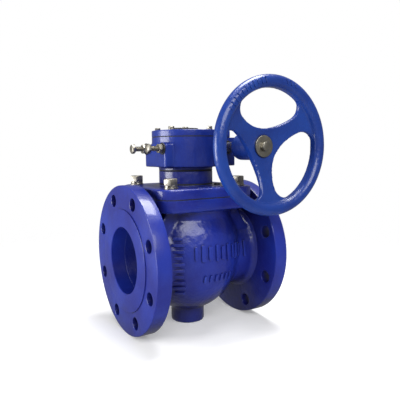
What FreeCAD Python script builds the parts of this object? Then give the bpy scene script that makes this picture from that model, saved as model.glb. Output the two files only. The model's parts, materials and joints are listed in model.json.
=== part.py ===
import FreeCAD, Part
import math
import os
from FreeCAD import Vector

# Gear-operated eccentric plug valve, 4 inch, flanged. All lengths are millimetres, all angles degrees.
# Frame: the origin is the centre of the inlet flange's face, +X runs along the flow, +Z up the stem.
# The valve is drawn open: the plug is parked against the -Y side of the chamber.

# ---- end flanges and flow way ----
face_to_face = 228.6
flange_radius = 114.3
flange_thickness = 23.8
raised_face_radius = 78.6
raised_face_height = 1.6
port_radius = 50.8
port_straight_length = 30.0
port_cast_radius = 49.6
bolt_circle_radius = 95.25
flange_hole_radius = 9.525
flange_hole_count = 8
neck_radius = 63.0
neck_fillet = 10.0

# ---- stem axis ----
stem_offset = 4.0
stem_radius = 16.0
stem_drive_radius = 14.0
hexagon_face_share = 0.475
hexagon_chamfer_angle = 30.0
running_gap = 0.05
assembly_gap = 0.03

# ---- body shell ----
belly_radius = 87.0
belly_half_height = 100.8
belly_centre_z = 6.0
boss_radius = 27.4
body_collar_radius = 73.0
chamber_radius = 64.5
chamber_belly_radius = 72.0
chamber_floor_z = -62.0
chamber_floor_radius = 36.0
chamber_cone_z = -50.5
chamber_neck_z = 56.0
throat_half_width = 31.0
throat_half_height = 45.0
throat_start = 60.0
rib_thickness = 9.0
rib_offset = 50.0
rib_foot_z = 28.0
rib_top_reach = 36.0
rib_inset = 27.0

# ---- square top flange, bonnet and bonnet bolts ----
square_half = 82.0
square_corner = 26.0
body_top_z = 93.8
body_top_thickness = 18.8
bonnet_gasket_thickness = 1.5
bonnet_thickness = 14.5
bonnet_edge_fillet = 3.0
bonnet_spigot_depth = 9.0
bonnet_spigot_gap = 0.3
bonnet_hub_radius = 32.0
bonnet_hub_bottom_z = 64.0
neck_pad_height = 1.5
bonnet_bolt_spacing = 60.0
bonnet_bolt_radius = 6.0
bonnet_bolt_clearance = 0.75
bonnet_bolt_flats = 19.0
bonnet_bolt_head = 9.8
bonnet_bolt_grip = 15.0
flat_washer_radius = 10.4
flat_washer_thickness = 2.2
spring_washer_radius = 9.7
spring_washer_thickness = 3.0
spring_washer_slot = 1.6
pipe_plug_x = 45.0
pipe_plug_y = -24.0
pipe_plug_radius = 5.0
pipe_plug_proud = 2.2
pipe_plug_depth = 9.0
pipe_plug_socket = 5.0

# ---- plug ----
plug_face_radius = 60.0
plug_core_radius = 57.0
plug_back_distance = 46.5
plug_half_width = 36.0
plug_half_height = 48.5
plug_arm_width = 40.0
plug_arm_radius = 55.0
plug_arm_root_z = 46.0
plug_arm_end_z = 60.0
plug_arm_end_radius = 24.0
seat_gap = 0.15
seat_land = 5.5
seat_front = 30.0
seat_back = 68.0
seat_corner = 5.0

# ---- bearings, seals and packing ----
trunnion_radius = 14.0
trunnion_bottom_z = -95.0
lower_bore_bottom_z = -98.0
bush_wall = 4.0
lower_seal_height = 4.0
thrust_washer_thickness = 1.8
thrust_washer_radius = 26.0
upper_seal_height = 4.0
packing_ring_count = 4
packing_ring_height = 3.2
packing_radius = 22.0
packing_bottom_z = 92.0
gland_flange_radius = 26.0
gland_flange_thickness = 4.0

# ---- adapter neck ----
neck_outer_radius = 43.3
neck_seal_thickness = 2.5
neck_height = 19.2
neck_lip_radius = 20.0
neck_bore_radius = 26.5
neck_screw_circle = 34.0
neck_screw_radius = 4.0
neck_screw_head_radius = 6.5
neck_screw_head_height = 8.0
neck_screw_depth = 13.0
neck_screw_socket = 6.0
screw_clearance = 0.3

# ---- gearbox housing ----
housing_round_x = 4.5
housing_round_radius = 58.0
housing_wall = 3.4
housing_base_ring = 4.5
housing_floor = 7.0
housing_height = 46.0
stop_block_x = -55.5
stop_block_half_width = 35.0
stop_block_height = 35.5
worm_block_margin = 17.0
worm_block_half_length = 29.0
worm_block_inner_x = 30.0
cover_gasket_thickness = 1.5
cover_thickness = 9.5
cover_edge_fillet = 1.2
cover_lug_x = 71.5
cover_lug_half_width = 25.0
cover_screw_circle = 50.0
cover_screw_angles = (66.0, 138.0, 210.0, 282.0)
lug_screw_x = 65.0
lug_screw_y = -20.5
cover_screw_radius = 3.0
cover_screw_flats = 8.0
cover_screw_head = 4.0
cover_screw_depth = 4.5
cover_washer_radius = 4.7
cover_washer_thickness = 1.2
cover_boss_radius = 6.5
cover_boss_height = 8.0

# ---- worm gear pair ----
gear_module = 2.5
gear_teeth = 40
worm_pitch_radius = 11.0
pressure_angle = 20.0
root_clearance = 0.5
flank_gap = 0.15
sector_overrun = 13.0
sector_width = 14.0
sector_hub_radius = 21.0
sector_journal_radius = 20.0
sector_top_journal_radius = 18.0
quarter_turn = 90.0
worm_axis_z = 170.0
worm_thread_half_length = 15.0
worm_collar_length = 2.0
worm_collar_radius = 10.2
worm_shaft_radius = 8.0
worm_tip_gap = 0.5
worm_bush_radius = 11.0
worm_bush_length = 8.8
worm_end_gap = 0.2
worm_seal_proud = 2.5
worm_rear_length = 26.5
end_plug_flange_radius = 16.0
end_plug_flange = 4.0
end_plug_socket = 12.0
end_seal_thickness = 0.8
key_width = 8.0
key_height = 7.0
key_depth = 4.0
key_length = 26.0

# ---- stop screws ----
stop_screw_offset = 28.0
stop_screw_radius = 4.0
stop_screw_z = 168.5
stop_screw_flats = 13.0
stop_screw_head = 5.3
stop_screw_reach = 27.0
stop_nut_height = 6.5
stop_washer_radius = 9.0
stop_washer_thickness = 2.2
stop_gap = 0.2

# ---- indicator ----
indicator_radius = 21.0
indicator_thickness = 2.6
indicator_gap = 1.2
indicator_bar_width = 5.0
indicator_bar_height = 0.8
indicator_screw_radius = 2.5
indicator_screw_head_radius = 5.0
indicator_screw_length = 14.0
indicator_seal_radius = 21.5
indicator_seal_height = 3.5

# ---- handwheel ----
wheel_radius = 100.0
wheel_tube_radius = 9.0
wheel_rim_y = -138.0
wheel_dish = 20.4
wheel_hub_radius = 20.3
wheel_hub_back_y = -65.0
wheel_hub_nose_y = -54.0
wheel_hub_nose_radius = 10.5
wheel_knee_share = 0.55
wheel_web_thickness = 9.0
wheel_opening_inner = 26.0
wheel_opening_arc = 79.0
wheel_opening_corner = 16.0
wheel_spoke_count = 3
wheel_washer_radius = 16.0
wheel_washer_thickness = 3.0
wheel_bolt_flats = 13.0
wheel_bolt_head = 5.3
wheel_bolt_radius = 4.0
wheel_bolt_length = 22.0
wheel_key_width = 5.0
wheel_key_height = 5.0
wheel_key_depth = 3.0
wheel_key_length = 30.0

# ---- sizes that follow from the values above ----
stem_x = face_to_face / 2
bonnet_bottom_z = body_top_z + bonnet_gasket_thickness
bonnet_top_z = bonnet_bottom_z + bonnet_thickness
pad_top_z = bonnet_top_z + neck_pad_height
neck_bottom_z = pad_top_z + neck_seal_thickness
neck_top_z = neck_bottom_z + neck_height
base_z = neck_top_z + neck_seal_thickness
housing_bottom_z = base_z + housing_base_ring
floor_top_z = housing_bottom_z + housing_floor
housing_top_z = housing_bottom_z + housing_height
cover_bottom_z = housing_top_z + cover_gasket_thickness
cover_top_z = cover_bottom_z + cover_thickness
gear_pitch_radius = gear_module * gear_teeth / 2
worm_axis_distance = gear_pitch_radius + worm_pitch_radius
worm_x = stem_x + worm_axis_distance
worm_tip_radius = worm_pitch_radius + gear_module
worm_bore_radius = worm_tip_radius + worm_tip_gap
gear_tip_radius = gear_pitch_radius + gear_module
gear_root_radius = gear_pitch_radius - gear_module - root_clearance
axial_pitch = math.pi * gear_module
housing_cavity_radius = housing_round_radius - housing_wall
wheel_rim_radius = wheel_radius - wheel_tube_radius
wheel_face_y = wheel_rim_y + wheel_dish
key_top_z = housing_top_z - 12.0


def post(radius, z0, z1, x=0.0, y=0.0):
    """Upright cylinder, placed relative to the stem axis."""
    return Part.makeCylinder(radius, z1 - z0, Vector(stem_x + x, stem_offset + y, z0), Vector(0, 0, 1))


def sleeve(outer, inner, z0, z1, x=0.0, y=0.0):
    """Upright ring, placed relative to the stem axis."""
    return post(outer, z0, z1, x, y).cut(post(inner, z0 - 1, z1 + 1, x, y))


def bar_x(radius, x0, x1, y=0.0, z=0.0):
    """Cylinder along X, in the valve's frame."""
    return Part.makeCylinder(radius, x1 - x0, Vector(x0, y, z), Vector(1, 0, 0))


def bar_y(radius, y0, y1, x=None, z=None):
    """Cylinder along Y, on the worm axis unless another place is given."""
    place = Vector(worm_x if x is None else x, y0, worm_axis_z if z is None else z)
    return Part.makeCylinder(radius, y1 - y0, place, Vector(0, 1, 0))


def block(x0, x1, y0, y1, z0, z1):
    """Box placed relative to the stem axis."""
    return Part.makeBox(x1 - x0, y1 - y0, z1 - z0, Vector(stem_x + x0, stem_offset + y0, z0))


def hexagon(across_flats, length, start, direction):
    """Hexagonal prism from a point along a direction."""
    radius = across_flats / math.sqrt(3)
    points = [Vector(radius * math.cos(math.radians(60 * i)), radius * math.sin(math.radians(60 * i)), 0)
              for i in range(7)]
    prism = Part.Face(Part.makePolygon(points)).extrude(Vector(0, 0, length))
    prism.Placement = FreeCAD.Placement(start, FreeCAD.Rotation(Vector(0, 0, 1), direction))
    return prism


def corner_cone(across_flats, length, start, direction):
    """Blunt cone that turns off a hexagon's corners at its far end."""
    reach = across_flats / math.sqrt(3)
    blunt = across_flats * hexagon_face_share
    slope = math.tan(math.radians(hexagon_chamfer_angle))
    shoulder = length - (reach - blunt) * slope
    tip = Part.makeCone(reach, blunt, length - shoulder, start + direction * shoulder, direction)
    return tip.fuse(Part.makeCylinder(reach, shoulder, start, direction))


def hex_head(across_flats, length, start, direction):
    """Hexagon with the corners of its far end turned off."""
    head = hexagon(across_flats, length, start, direction)
    return head.common(corner_cone(across_flats, length, start, direction))


def profile_face(points):
    """Flat face through points given as vectors."""
    return Part.Face(Part.makePolygon(points + [points[0]]))


def turned(points, about_x=False):
    """Solid of revolution about the stem axis (or about the flow axis) from (radius, height) points."""
    if about_x:
        face = profile_face([Vector(h, 0, r) for r, h in points])
        return face.revolve(Vector(0, 0, 0), Vector(1, 0, 0), 360)
    face = profile_face([Vector(stem_x + r, stem_offset, h) for r, h in points])
    return face.revolve(Vector(stem_x, stem_offset, 0), Vector(0, 0, 1), 360)


def rounded_plate(half_x, half_y, corner, z0, z1):
    """Upright plate with rounded corners, centred on the stem axis."""
    plate = block(-half_x, half_x, -half_y, half_y, z0, z1)
    return plate.makeFillet(corner, upright_edges(plate))


def upright_edges(shape):
    """Straight edges of a shape that run along Z."""
    return [e for e in shape.Edges if len(e.Vertexes) == 2
            and abs(e.Vertexes[0].Point.x - e.Vertexes[1].Point.x) < 1e-6
            and abs(e.Vertexes[0].Point.y - e.Vertexes[1].Point.y) < 1e-6]


def edges_at(shape, z):
    """Edges of a shape that lie in the level plane at height z."""
    return [e for e in shape.Edges if abs(e.BoundBox.ZMin - z) < 1e-4 and abs(e.BoundBox.ZMax - z) < 1e-4]


def turn(shape, angle):
    """Copy of a shape turned about the stem axis."""
    copy = shape.copy()
    copy.rotate(Vector(stem_x, stem_offset, 0), Vector(0, 0, 1), angle)
    return copy


def save(name, *solids):
    """Write one sub-part, which may be several separate solids."""
    pieces = [s for shape in solids for s in shape.Solids]
    shape = pieces[0] if len(pieces) == 1 else Part.makeCompound(pieces)
    bad = [s for s in pieces if not s.isValid() or s.Volume <= 0]
    if bad or not pieces:
        raise RuntimeError(name + " is not a closed solid")
    shape.exportStep("parts/" + name + ".step")
    print(name, len(pieces), "solid(s)", round(sum(s.Volume for s in pieces) / 1000, 2), "cm3")


# ---------------------------------------------------------------- body

def bonnet_bolt_places():
    """Centres of the bonnet bolts, relative to the stem axis."""
    return [(sx * bonnet_bolt_spacing, sy * bonnet_bolt_spacing) for sx in (-1, 1) for sy in (-1, 1)]


def end_flange_and_neck():
    """Inlet flange with its raised face and the filleted neck behind it."""
    back = flange_thickness
    corner = [(neck_radius + neck_fillet - neck_fillet * math.cos(math.radians(a)),
               back + neck_fillet - neck_fillet * math.sin(math.radians(a))) for a in range(90, -1, -15)]
    outline = [(0, 0), (raised_face_radius, 0), (raised_face_radius, raised_face_height),
               (flange_radius, raised_face_height), (flange_radius, back)]
    return turned(outline + corner + [(neck_radius, stem_x), (0, stem_x)], about_x=True)


def flange_holes():
    """Bolt holes of the inlet flange, straddling the centrelines."""
    holes = []
    for i in range(flange_hole_count):
        angle = math.radians(360 / flange_hole_count * (i + 0.5))
        y = bolt_circle_radius * math.cos(angle)
        z = bolt_circle_radius * math.sin(angle)
        holes.append(bar_x(flange_hole_radius, -1, flange_thickness + 1, y, z))
    return holes


def outlet_of(shape):
    """Copy of an inlet feature mirrored to the outlet end."""
    return shape.mirror(Vector(stem_x, 0, 0), Vector(1, 0, 0))


def flow_way():
    """Half of the flow way: round at the flange, narrowing to the tall throat at the chamber."""
    straight = bar_x(port_radius, -1, port_straight_length)
    round_way = bar_x(port_cast_radius, 0, stem_x)
    wide = port_radius + 1
    mouth = rectangle_yz(port_straight_length - 1, wide, wide)
    throat = rectangle_yz(throat_start, throat_half_width, throat_half_height)
    taper = Part.makeLoft([mouth, throat], True, True)
    slot = Part.makeBox(stem_x - throat_start, 2 * throat_half_width, 2 * throat_half_height,
                        Vector(throat_start, -throat_half_width, -throat_half_height))
    return straight.fuse(round_way.common(taper.fuse(slot)))


def rectangle_yz(x, half_width, half_height):
    """Closed rectangle across the flow at distance x."""
    signs = ((-1, -1), (1, -1), (1, 1), (-1, 1))
    corners = [Vector(x, sy * half_width, sz * half_height) for sy, sz in signs]
    return Part.makePolygon(corners + [corners[0]])


def belly():
    """Outer belly of the body: an egg shape about the stem, with the foot boss below."""
    centre = Vector(stem_x, stem_offset, belly_centre_z)
    pole = centre + Vector(0, 0, belly_half_height)
    ellipse = Part.Ellipse(pole, centre + Vector(belly_radius, 0, 0), centre)
    arc = Part.Arc(ellipse, 0, math.pi).toShape()
    chord = Part.makeLine(arc.Vertexes[-1].Point, arc.Vertexes[0].Point)
    shape = Part.Face(Part.Wire([arc, chord])).revolve(centre, Vector(0, 0, 1), 360)
    foot = post(boss_radius, -flange_radius, belly_centre_z)
    collar = post(body_collar_radius, belly_centre_z, body_top_z - body_top_thickness + 1)
    above = post(flange_radius, body_top_z - body_top_thickness + 1, flange_radius + 10)
    return shape.fuse([foot, collar]).cut(above)


def chamber():
    """Space inside the body that the plug turns in, open at the top."""
    knee = [(chamber_belly_radius - (chamber_belly_radius - chamber_radius) * (t ** 2),
             belly_centre_z + t * (chamber_neck_z - belly_centre_z)) for t in (-0.6, -0.3, 0, 0.3, 0.6, 1)]
    points = [(0, chamber_floor_z), (chamber_floor_radius, chamber_floor_z)]
    points.append((chamber_radius, chamber_cone_z))
    points += knee + [(chamber_radius, body_top_z + 1), (0, body_top_z + 1)]
    return turned(points)


def ribs():
    """Sloping ribs between the square top flange and the backs of the end flanges."""
    top_z = body_top_z - 1
    reach = stem_x - flange_thickness + 1
    outline = [(rib_inset, top_z), (rib_inset + rib_top_reach, top_z - body_top_thickness + 2),
               (reach, rib_foot_z), (reach, 0), (rib_inset, 0)]
    pieces = []
    for side in (-1, 1):
        for end in (-1, 1):
            y = side * rib_offset
            face = profile_face([Vector(stem_x + end * x, stem_offset + y - rib_thickness / 2, z)
                                 for x, z in outline])
            pieces.append(face.extrude(Vector(0, rib_thickness, 0)))
    return pieces


def seat_outline(margin, x0, x1):
    """Rectangular plug of space round the outlet throat, with rounded corners."""
    half_y = throat_half_width + margin
    half_z = throat_half_height + margin
    frame = Part.makeBox(x1 - x0, 2 * half_y, 2 * half_z, Vector(stem_x + x0, -half_y, -half_z))
    along = [e for e in frame.Edges if abs(e.Vertexes[0].Point.x - e.Vertexes[1].Point.x) > 1]
    return frame.makeFillet(seat_corner, along)


def body_casting():
    """Cast body: end flanges, necks, belly, square top, ribs and foot boss, machined inside."""
    half = end_flange_and_neck()
    shape = half.fuse([outlet_of(half), belly()] + ribs())
    top = rounded_plate(square_half, square_half, square_corner,
                        body_top_z - body_top_thickness, body_top_z)
    shape = shape.fuse(top)
    lower_bore = post(trunnion_radius + bush_wall, lower_bore_bottom_z, chamber_floor_z + 1)
    way = flow_way()
    pocket = seat_outline(seat_land + assembly_gap, seat_front, seat_back)
    cuts = [chamber(), lower_bore, way, outlet_of(way), pocket]
    for hole in flange_holes():
        cuts += [hole, outlet_of(hole)]
    for x, y in bonnet_bolt_places():
        depth = bonnet_bolt_grip + 1.5
        cuts.append(post(bonnet_bolt_radius + assembly_gap, body_top_z - depth, body_top_z + 1, x, y))
    return shape.cut(cuts).removeSplitter()


def seat_ring():
    """Hard seat frame let into the outlet throat, hollowed to the plug's face."""
    frame = seat_outline(seat_land, seat_front, seat_back)
    opening = Part.makeBox(80, 2 * throat_half_width, 2 * throat_half_height,
                           Vector(stem_x, -throat_half_width, -throat_half_height))
    hollow = Part.makeCylinder(plug_face_radius + seat_gap, 200, Vector(stem_x, 0, -100), Vector(0, 0, 1))
    return frame.cut([opening, hollow])


# ---------------------------------------------------------------- plug

def closed_to_open(shape):
    """Turn a shape drawn in the closed position to the open one."""
    return turn(shape, -quarter_turn)


def plug_window(extra_width, extra_height):
    """Box over the plug's closing face, drawn closed: the seat is centred on the flow axis."""
    half_y = plug_half_width + extra_width
    half_z = plug_half_height + extra_height
    return Part.makeBox(80, 2 * half_y, 2 * half_z, Vector(stem_x, -half_y, -half_z))


def face_cylinder(radius):
    """Upright cylinder about the centre of the plug's closing face, drawn closed."""
    return Part.makeCylinder(radius, 200, Vector(stem_x, 0, -100), Vector(0, 0, 1))


def plug():
    """Eccentric plug with its arms, upper stem and lower trunnion."""
    front = Part.makeBox(40, 160, 2 * plug_half_height,
                         Vector(stem_x + plug_back_distance, -80, -plug_half_height))
    leaf = face_cylinder(plug_core_radius).common(plug_window(0, 0)).common(front)
    arm = turned([(0, plug_arm_root_z), (plug_arm_radius, plug_arm_root_z),
                  (plug_arm_radius, plug_arm_root_z + 4), (plug_arm_end_radius, plug_arm_end_z),
                  (0, plug_arm_end_z)])
    reach = block(-plug_arm_end_radius, plug_arm_radius, -plug_arm_width / 2, plug_arm_width / 2, -80, 80)
    arm = arm.common(reach)
    low_arm = arm.mirror(Vector(0, 0, 0), Vector(0, 0, 1))
    stem = post(stem_radius, plug_arm_root_z, neck_bottom_z)
    drive = post(stem_drive_radius, neck_bottom_z - 1, housing_top_z - 1)
    trunnion = post(trunnion_radius, trunnion_bottom_z, -plug_arm_root_z)
    shape = leaf.fuse([arm, low_arm, stem, drive, trunnion])
    tapped = post(indicator_screw_radius + assembly_gap,
                  housing_top_z - indicator_screw_length, housing_top_z)
    return closed_to_open(shape.cut([tapped, key_slot(assembly_gap)]).removeSplitter())


def plug_facing():
    """Rubber facing bonded to the closing face of the plug."""
    shell = face_cylinder(plug_face_radius).cut(face_cylinder(plug_core_radius))
    return closed_to_open(shell.common(plug_window(0, 0)))


def key_slot(gap):
    """Space of the sector key, drawn closed, at the back of the stem."""
    outer = stem_drive_radius - key_depth + key_height + gap
    return block(-outer, -stem_drive_radius + key_depth + gap, -key_width / 2 - gap, key_width / 2 + gap,
                 key_top_z - key_length - gap, key_top_z + gap)


def sector_key():
    return closed_to_open(key_slot(0))


# ---------------------------------------------------------------- bearings and seals

def lower_bearing_bush():
    return sleeve(trunnion_radius + bush_wall, trunnion_radius + running_gap,
                  lower_bore_bottom_z + 1, chamber_floor_z - lower_seal_height)


def lower_grit_seal():
    return sleeve(trunnion_radius + bush_wall, trunnion_radius + running_gap,
                  chamber_floor_z - lower_seal_height, chamber_floor_z)


def lower_thrust_washer():
    return sleeve(thrust_washer_radius, trunnion_radius + running_gap,
                  chamber_floor_z, chamber_floor_z + thrust_washer_thickness)


def upper_bearing_bush():
    return sleeve(stem_radius + bush_wall, stem_radius + running_gap,
                  bonnet_hub_bottom_z + upper_seal_height, packing_bottom_z)


def upper_grit_seal():
    return sleeve(stem_radius + bush_wall, stem_radius + running_gap,
                  bonnet_hub_bottom_z, bonnet_hub_bottom_z + upper_seal_height)


def packing_top_z():
    return packing_bottom_z + packing_ring_count * packing_ring_height


def packing_rings():
    """Square packing rings stacked round the stem."""
    rings = []
    for i in range(packing_ring_count):
        z = packing_bottom_z + i * packing_ring_height
        rings.append(sleeve(packing_radius - assembly_gap, stem_radius + running_gap,
                            z, z + packing_ring_height))
    return rings


def packing_gland():
    """Gland that the adapter neck presses down onto the packing."""
    flange_bottom = pad_top_z + 0.6
    nose = sleeve(packing_radius - assembly_gap, stem_radius + running_gap, packing_top_z(), flange_bottom)
    flange = sleeve(gland_flange_radius, stem_radius + running_gap,
                    flange_bottom, flange_bottom + gland_flange_thickness)
    return nose.fuse(flange).removeSplitter()


# ---------------------------------------------------------------- bonnet and its fasteners

def bonnet():
    """Rounded square bonnet with a spigot, a bearing hub below and a round pad on top."""
    plate = rounded_plate(square_half, square_half, square_corner, bonnet_bottom_z, bonnet_top_z)
    plate = plate.makeFillet(bonnet_edge_fillet, edges_at(plate, bonnet_top_z))
    spigot = post(chamber_radius - bonnet_spigot_gap,
                  bonnet_bottom_z - bonnet_spigot_depth, bonnet_bottom_z)
    hub = post(bonnet_hub_radius, bonnet_hub_bottom_z, bonnet_bottom_z)
    pad = post(neck_outer_radius, bonnet_top_z, pad_top_z)
    cuts = [post(stem_radius + bush_wall, bonnet_hub_bottom_z - 1, packing_bottom_z),
            post(packing_radius, packing_bottom_z, pad_top_z + 1),
            post(pipe_plug_radius, bonnet_top_z - pipe_plug_depth, bonnet_top_z + 1,
                 pipe_plug_x, pipe_plug_y)]
    for x, y in bonnet_bolt_places():
        cuts.append(post(bonnet_bolt_radius + bonnet_bolt_clearance,
                         bonnet_bottom_z - 1, bonnet_top_z + 1, x, y))
    cuts += neck_screw_holes(neck_screw_radius + assembly_gap,
                             pad_top_z - neck_screw_depth - 1, pad_top_z + 1)
    return plate.fuse([spigot, hub, pad]).cut(cuts).removeSplitter()


def bonnet_gasket():
    sheet = rounded_plate(square_half, square_half, square_corner, body_top_z, bonnet_bottom_z)
    cuts = [post(chamber_radius, body_top_z - 1, bonnet_bottom_z + 1)]
    for x, y in bonnet_bolt_places():
        cuts.append(post(bonnet_bolt_radius + bonnet_bolt_clearance,
                         body_top_z - 1, bonnet_bottom_z + 1, x, y))
    return sheet.cut(cuts)


def bonnet_bolts():
    """Hexagon head bolts through the bonnet into the body's top flange."""
    under_head = bonnet_top_z + flat_washer_thickness + spring_washer_thickness
    bolts = []
    for x, y in bonnet_bolt_places():
        shank = post(bonnet_bolt_radius, body_top_z - bonnet_bolt_grip, under_head, x, y)
        head = hex_head(bonnet_bolt_flats, bonnet_bolt_head,
                        Vector(stem_x + x, stem_offset + y, under_head), Vector(0, 0, 1))
        bolts.append(shank.fuse(head).removeSplitter())
    return bolts


def bonnet_flat_washers():
    return [sleeve(flat_washer_radius, bonnet_bolt_radius + screw_clearance,
                   bonnet_top_z, bonnet_top_z + flat_washer_thickness, x, y)
            for x, y in bonnet_bolt_places()]


def bonnet_spring_washers():
    """Split spring washers between the flat washers and the bolt heads."""
    z = bonnet_top_z + flat_washer_thickness
    washers = []
    for x, y in bonnet_bolt_places():
        ring = sleeve(spring_washer_radius, bonnet_bolt_radius + screw_clearance,
                      z, z + spring_washer_thickness, x, y)
        slot = block(x, x + 20, y - spring_washer_slot / 2, y + spring_washer_slot / 2,
                     z - 1, z + spring_washer_thickness + 1)
        washers.append(ring.cut(slot))
    return washers


def bonnet_pipe_plug():
    """Socket head plug in the tapped hole in the bonnet."""
    body = post(pipe_plug_radius - assembly_gap, bonnet_top_z - pipe_plug_depth + 1,
                bonnet_top_z + pipe_plug_proud, pipe_plug_x, pipe_plug_y)
    socket = hexagon(pipe_plug_socket, 6, Vector(stem_x + pipe_plug_x, stem_offset + pipe_plug_y,
                                                 bonnet_top_z + pipe_plug_proud - 4), Vector(0, 0, 1))
    return body.cut(socket)


# ---------------------------------------------------------------- adapter neck

def neck_screw_holes(radius, z0, z1):
    """Four upright cylinders on the neck screw circle."""
    places = [math.radians(45 + 90 * i) for i in range(4)]
    return [post(radius, z0, z1, neck_screw_circle * math.cos(a), neck_screw_circle * math.sin(a))
            for a in places]


def neck_ring(inner, z0, z1):
    """Full ring of the neck with its screw holes."""
    holes = neck_screw_holes(neck_screw_radius + screw_clearance, z0 - 1, z1 + 1)
    return sleeve(neck_outer_radius, inner, z0, z1).cut(holes)


def lower_neck_seal():
    return neck_ring(neck_bore_radius, pad_top_z, neck_bottom_z)


def upper_neck_seal():
    return neck_ring(neck_bore_radius, neck_top_z, base_z)


def adapter_neck():
    """Round neck between bonnet and gearbox; an inner lip holds the gland down."""
    ring = neck_ring(neck_lip_radius, neck_bottom_z, neck_top_z)
    lip_z = pad_top_z + 0.6 + gland_flange_thickness + assembly_gap
    return ring.cut(post(neck_bore_radius, neck_bottom_z - 1, lip_z))


def neck_screws():
    """Long socket head screws that clamp gearbox and neck onto the bonnet."""
    screws = []
    for i in range(4):
        angle = math.radians(45 + 90 * i)
        x = neck_screw_circle * math.cos(angle)
        y = neck_screw_circle * math.sin(angle)
        shank = post(neck_screw_radius, pad_top_z - neck_screw_depth, floor_top_z, x, y)
        head = post(neck_screw_head_radius, floor_top_z, floor_top_z + neck_screw_head_height, x, y)
        socket = hexagon(neck_screw_socket, 6, Vector(stem_x + x, stem_offset + y, floor_top_z + 4),
                         Vector(0, 0, 1))
        screws.append(shank.fuse(head).cut(socket).removeSplitter())
    return screws


# ---------------------------------------------------------------- gearbox

def cover_outline(z0, z1):
    """Round cover with a lug that reaches over the worm."""
    disc = post(housing_round_radius, z0, z1, housing_round_x)
    lug = block(0, cover_lug_x, -cover_lug_half_width, cover_lug_half_width, z0, z1)
    return disc.fuse(lug).removeSplitter()


def cover_screw_places():
    """Centres of the cover screws, relative to the stem axis."""
    places = []
    for angle in cover_screw_angles:
        a = math.radians(angle)
        places.append((housing_round_x + cover_screw_circle * math.cos(a),
                       cover_screw_circle * math.sin(a)))
    return places + [(lug_screw_x, lug_screw_y)]


def gearbox_housing():
    """Cast housing: round gear chamber, stop screw block, worm block and round base."""
    base = post(neck_outer_radius, base_z, housing_bottom_z)
    drum = post(housing_round_radius, housing_bottom_z, housing_top_z, housing_round_x)
    stop_block = block(stop_block_x, 0, -stop_block_half_width, stop_block_half_width,
                       housing_bottom_z, housing_bottom_z + stop_block_height)
    worm_block = block(worm_block_inner_x, worm_axis_distance + worm_block_margin,
                       -worm_block_half_length, worm_block_half_length, housing_bottom_z, housing_top_z)
    shape = drum.fuse([base, stop_block, worm_block])
    cavity = post(housing_cavity_radius, floor_top_z, housing_top_z + 1, housing_round_x)
    shape = shape.cut([cavity, post(sector_journal_radius + bush_wall, base_z - 1, floor_top_z + 1)])
    bosses = [post(cover_boss_radius, housing_top_z - cover_boss_height, housing_top_z, x, y).common(drum)
              for x, y in cover_screw_places()[:-1]]
    shape = shape.fuse(bosses)
    end = worm_block_half_length
    start = stem_offset - worm_thread_half_length - worm_collar_length - worm_end_gap
    cuts = [bar_y(worm_bore_radius, start, stem_offset + end + 1),
            bar_y(worm_bush_radius, stem_offset - housing_round_radius, start + 1),
            bar_y(end_plug_flange_radius + screw_clearance,
                  stem_offset + end, stem_offset + housing_round_radius)]
    for x, y in cover_screw_places():
        cuts.append(post(cover_screw_radius + assembly_gap,
                         housing_top_z - cover_screw_depth, housing_top_z + 1,
                         x, y))
    for side in (-1, 1):
        cuts.append(bar_x(stop_screw_radius + assembly_gap, stem_x + stop_block_x - 1, stem_x - 30,
                          stem_offset + side * stop_screw_offset, stop_screw_z))
    cuts += neck_screw_holes(neck_screw_radius + screw_clearance, base_z - 1, floor_top_z + 1)
    return shape.cut(cuts).removeSplitter()


def gearbox_cover():
    """Cover plate with a bore for the sector's top journal and a groove for its seal."""
    plate = cover_outline(cover_bottom_z, cover_top_z)
    plate = plate.makeFillet(cover_edge_fillet, edges_at(plate, cover_top_z))
    cuts = [post(sector_top_journal_radius + running_gap, cover_bottom_z - 1, cover_top_z + 1),
            post(indicator_seal_radius, cover_bottom_z - 1, cover_bottom_z + indicator_seal_height)]
    for x, y in cover_screw_places():
        cuts.append(post(cover_screw_radius + screw_clearance, cover_bottom_z - 1, cover_top_z + 1, x, y))
    return plate.cut(cuts)


def cover_gasket():
    sheet = cover_outline(housing_top_z, cover_bottom_z)
    cuts = [post(housing_cavity_radius - cover_boss_radius * 2, housing_top_z - 1, cover_bottom_z + 1,
                 housing_round_x)]
    for x, y in cover_screw_places():
        cuts.append(post(cover_screw_radius + screw_clearance, housing_top_z - 1, cover_bottom_z + 1, x, y))
    return sheet.cut(cuts)


def cover_screws():
    """Hexagon head screws of the gearbox cover."""
    under_head = cover_top_z + cover_washer_thickness
    screws = []
    for x, y in cover_screw_places():
        shank = post(cover_screw_radius, housing_top_z - cover_screw_depth + 0.3, under_head, x, y)
        head = hex_head(cover_screw_flats, cover_screw_head,
                        Vector(stem_x + x, stem_offset + y, under_head), Vector(0, 0, 1))
        screws.append(shank.fuse(head).removeSplitter())
    return screws


def cover_washers():
    return [sleeve(cover_washer_radius, cover_screw_radius + screw_clearance,
                   cover_top_z, cover_top_z + cover_washer_thickness, x, y)
            for x, y in cover_screw_places()]


def indicator_seal():
    return sleeve(indicator_seal_radius, sector_top_journal_radius + running_gap,
                  cover_bottom_z, cover_bottom_z + indicator_seal_height)


def sector_floor_bush():
    return sleeve(sector_journal_radius + bush_wall, sector_journal_radius + running_gap,
                  base_z + 1, floor_top_z)


def sector_thrust_washer():
    return sleeve(sector_hub_radius + 4, sector_journal_radius + running_gap,
                  floor_top_z, floor_top_z + 1.5)


# ---------------------------------------------------------------- worm gear pair

def involute(angle):
    return math.tan(angle) - angle


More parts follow.
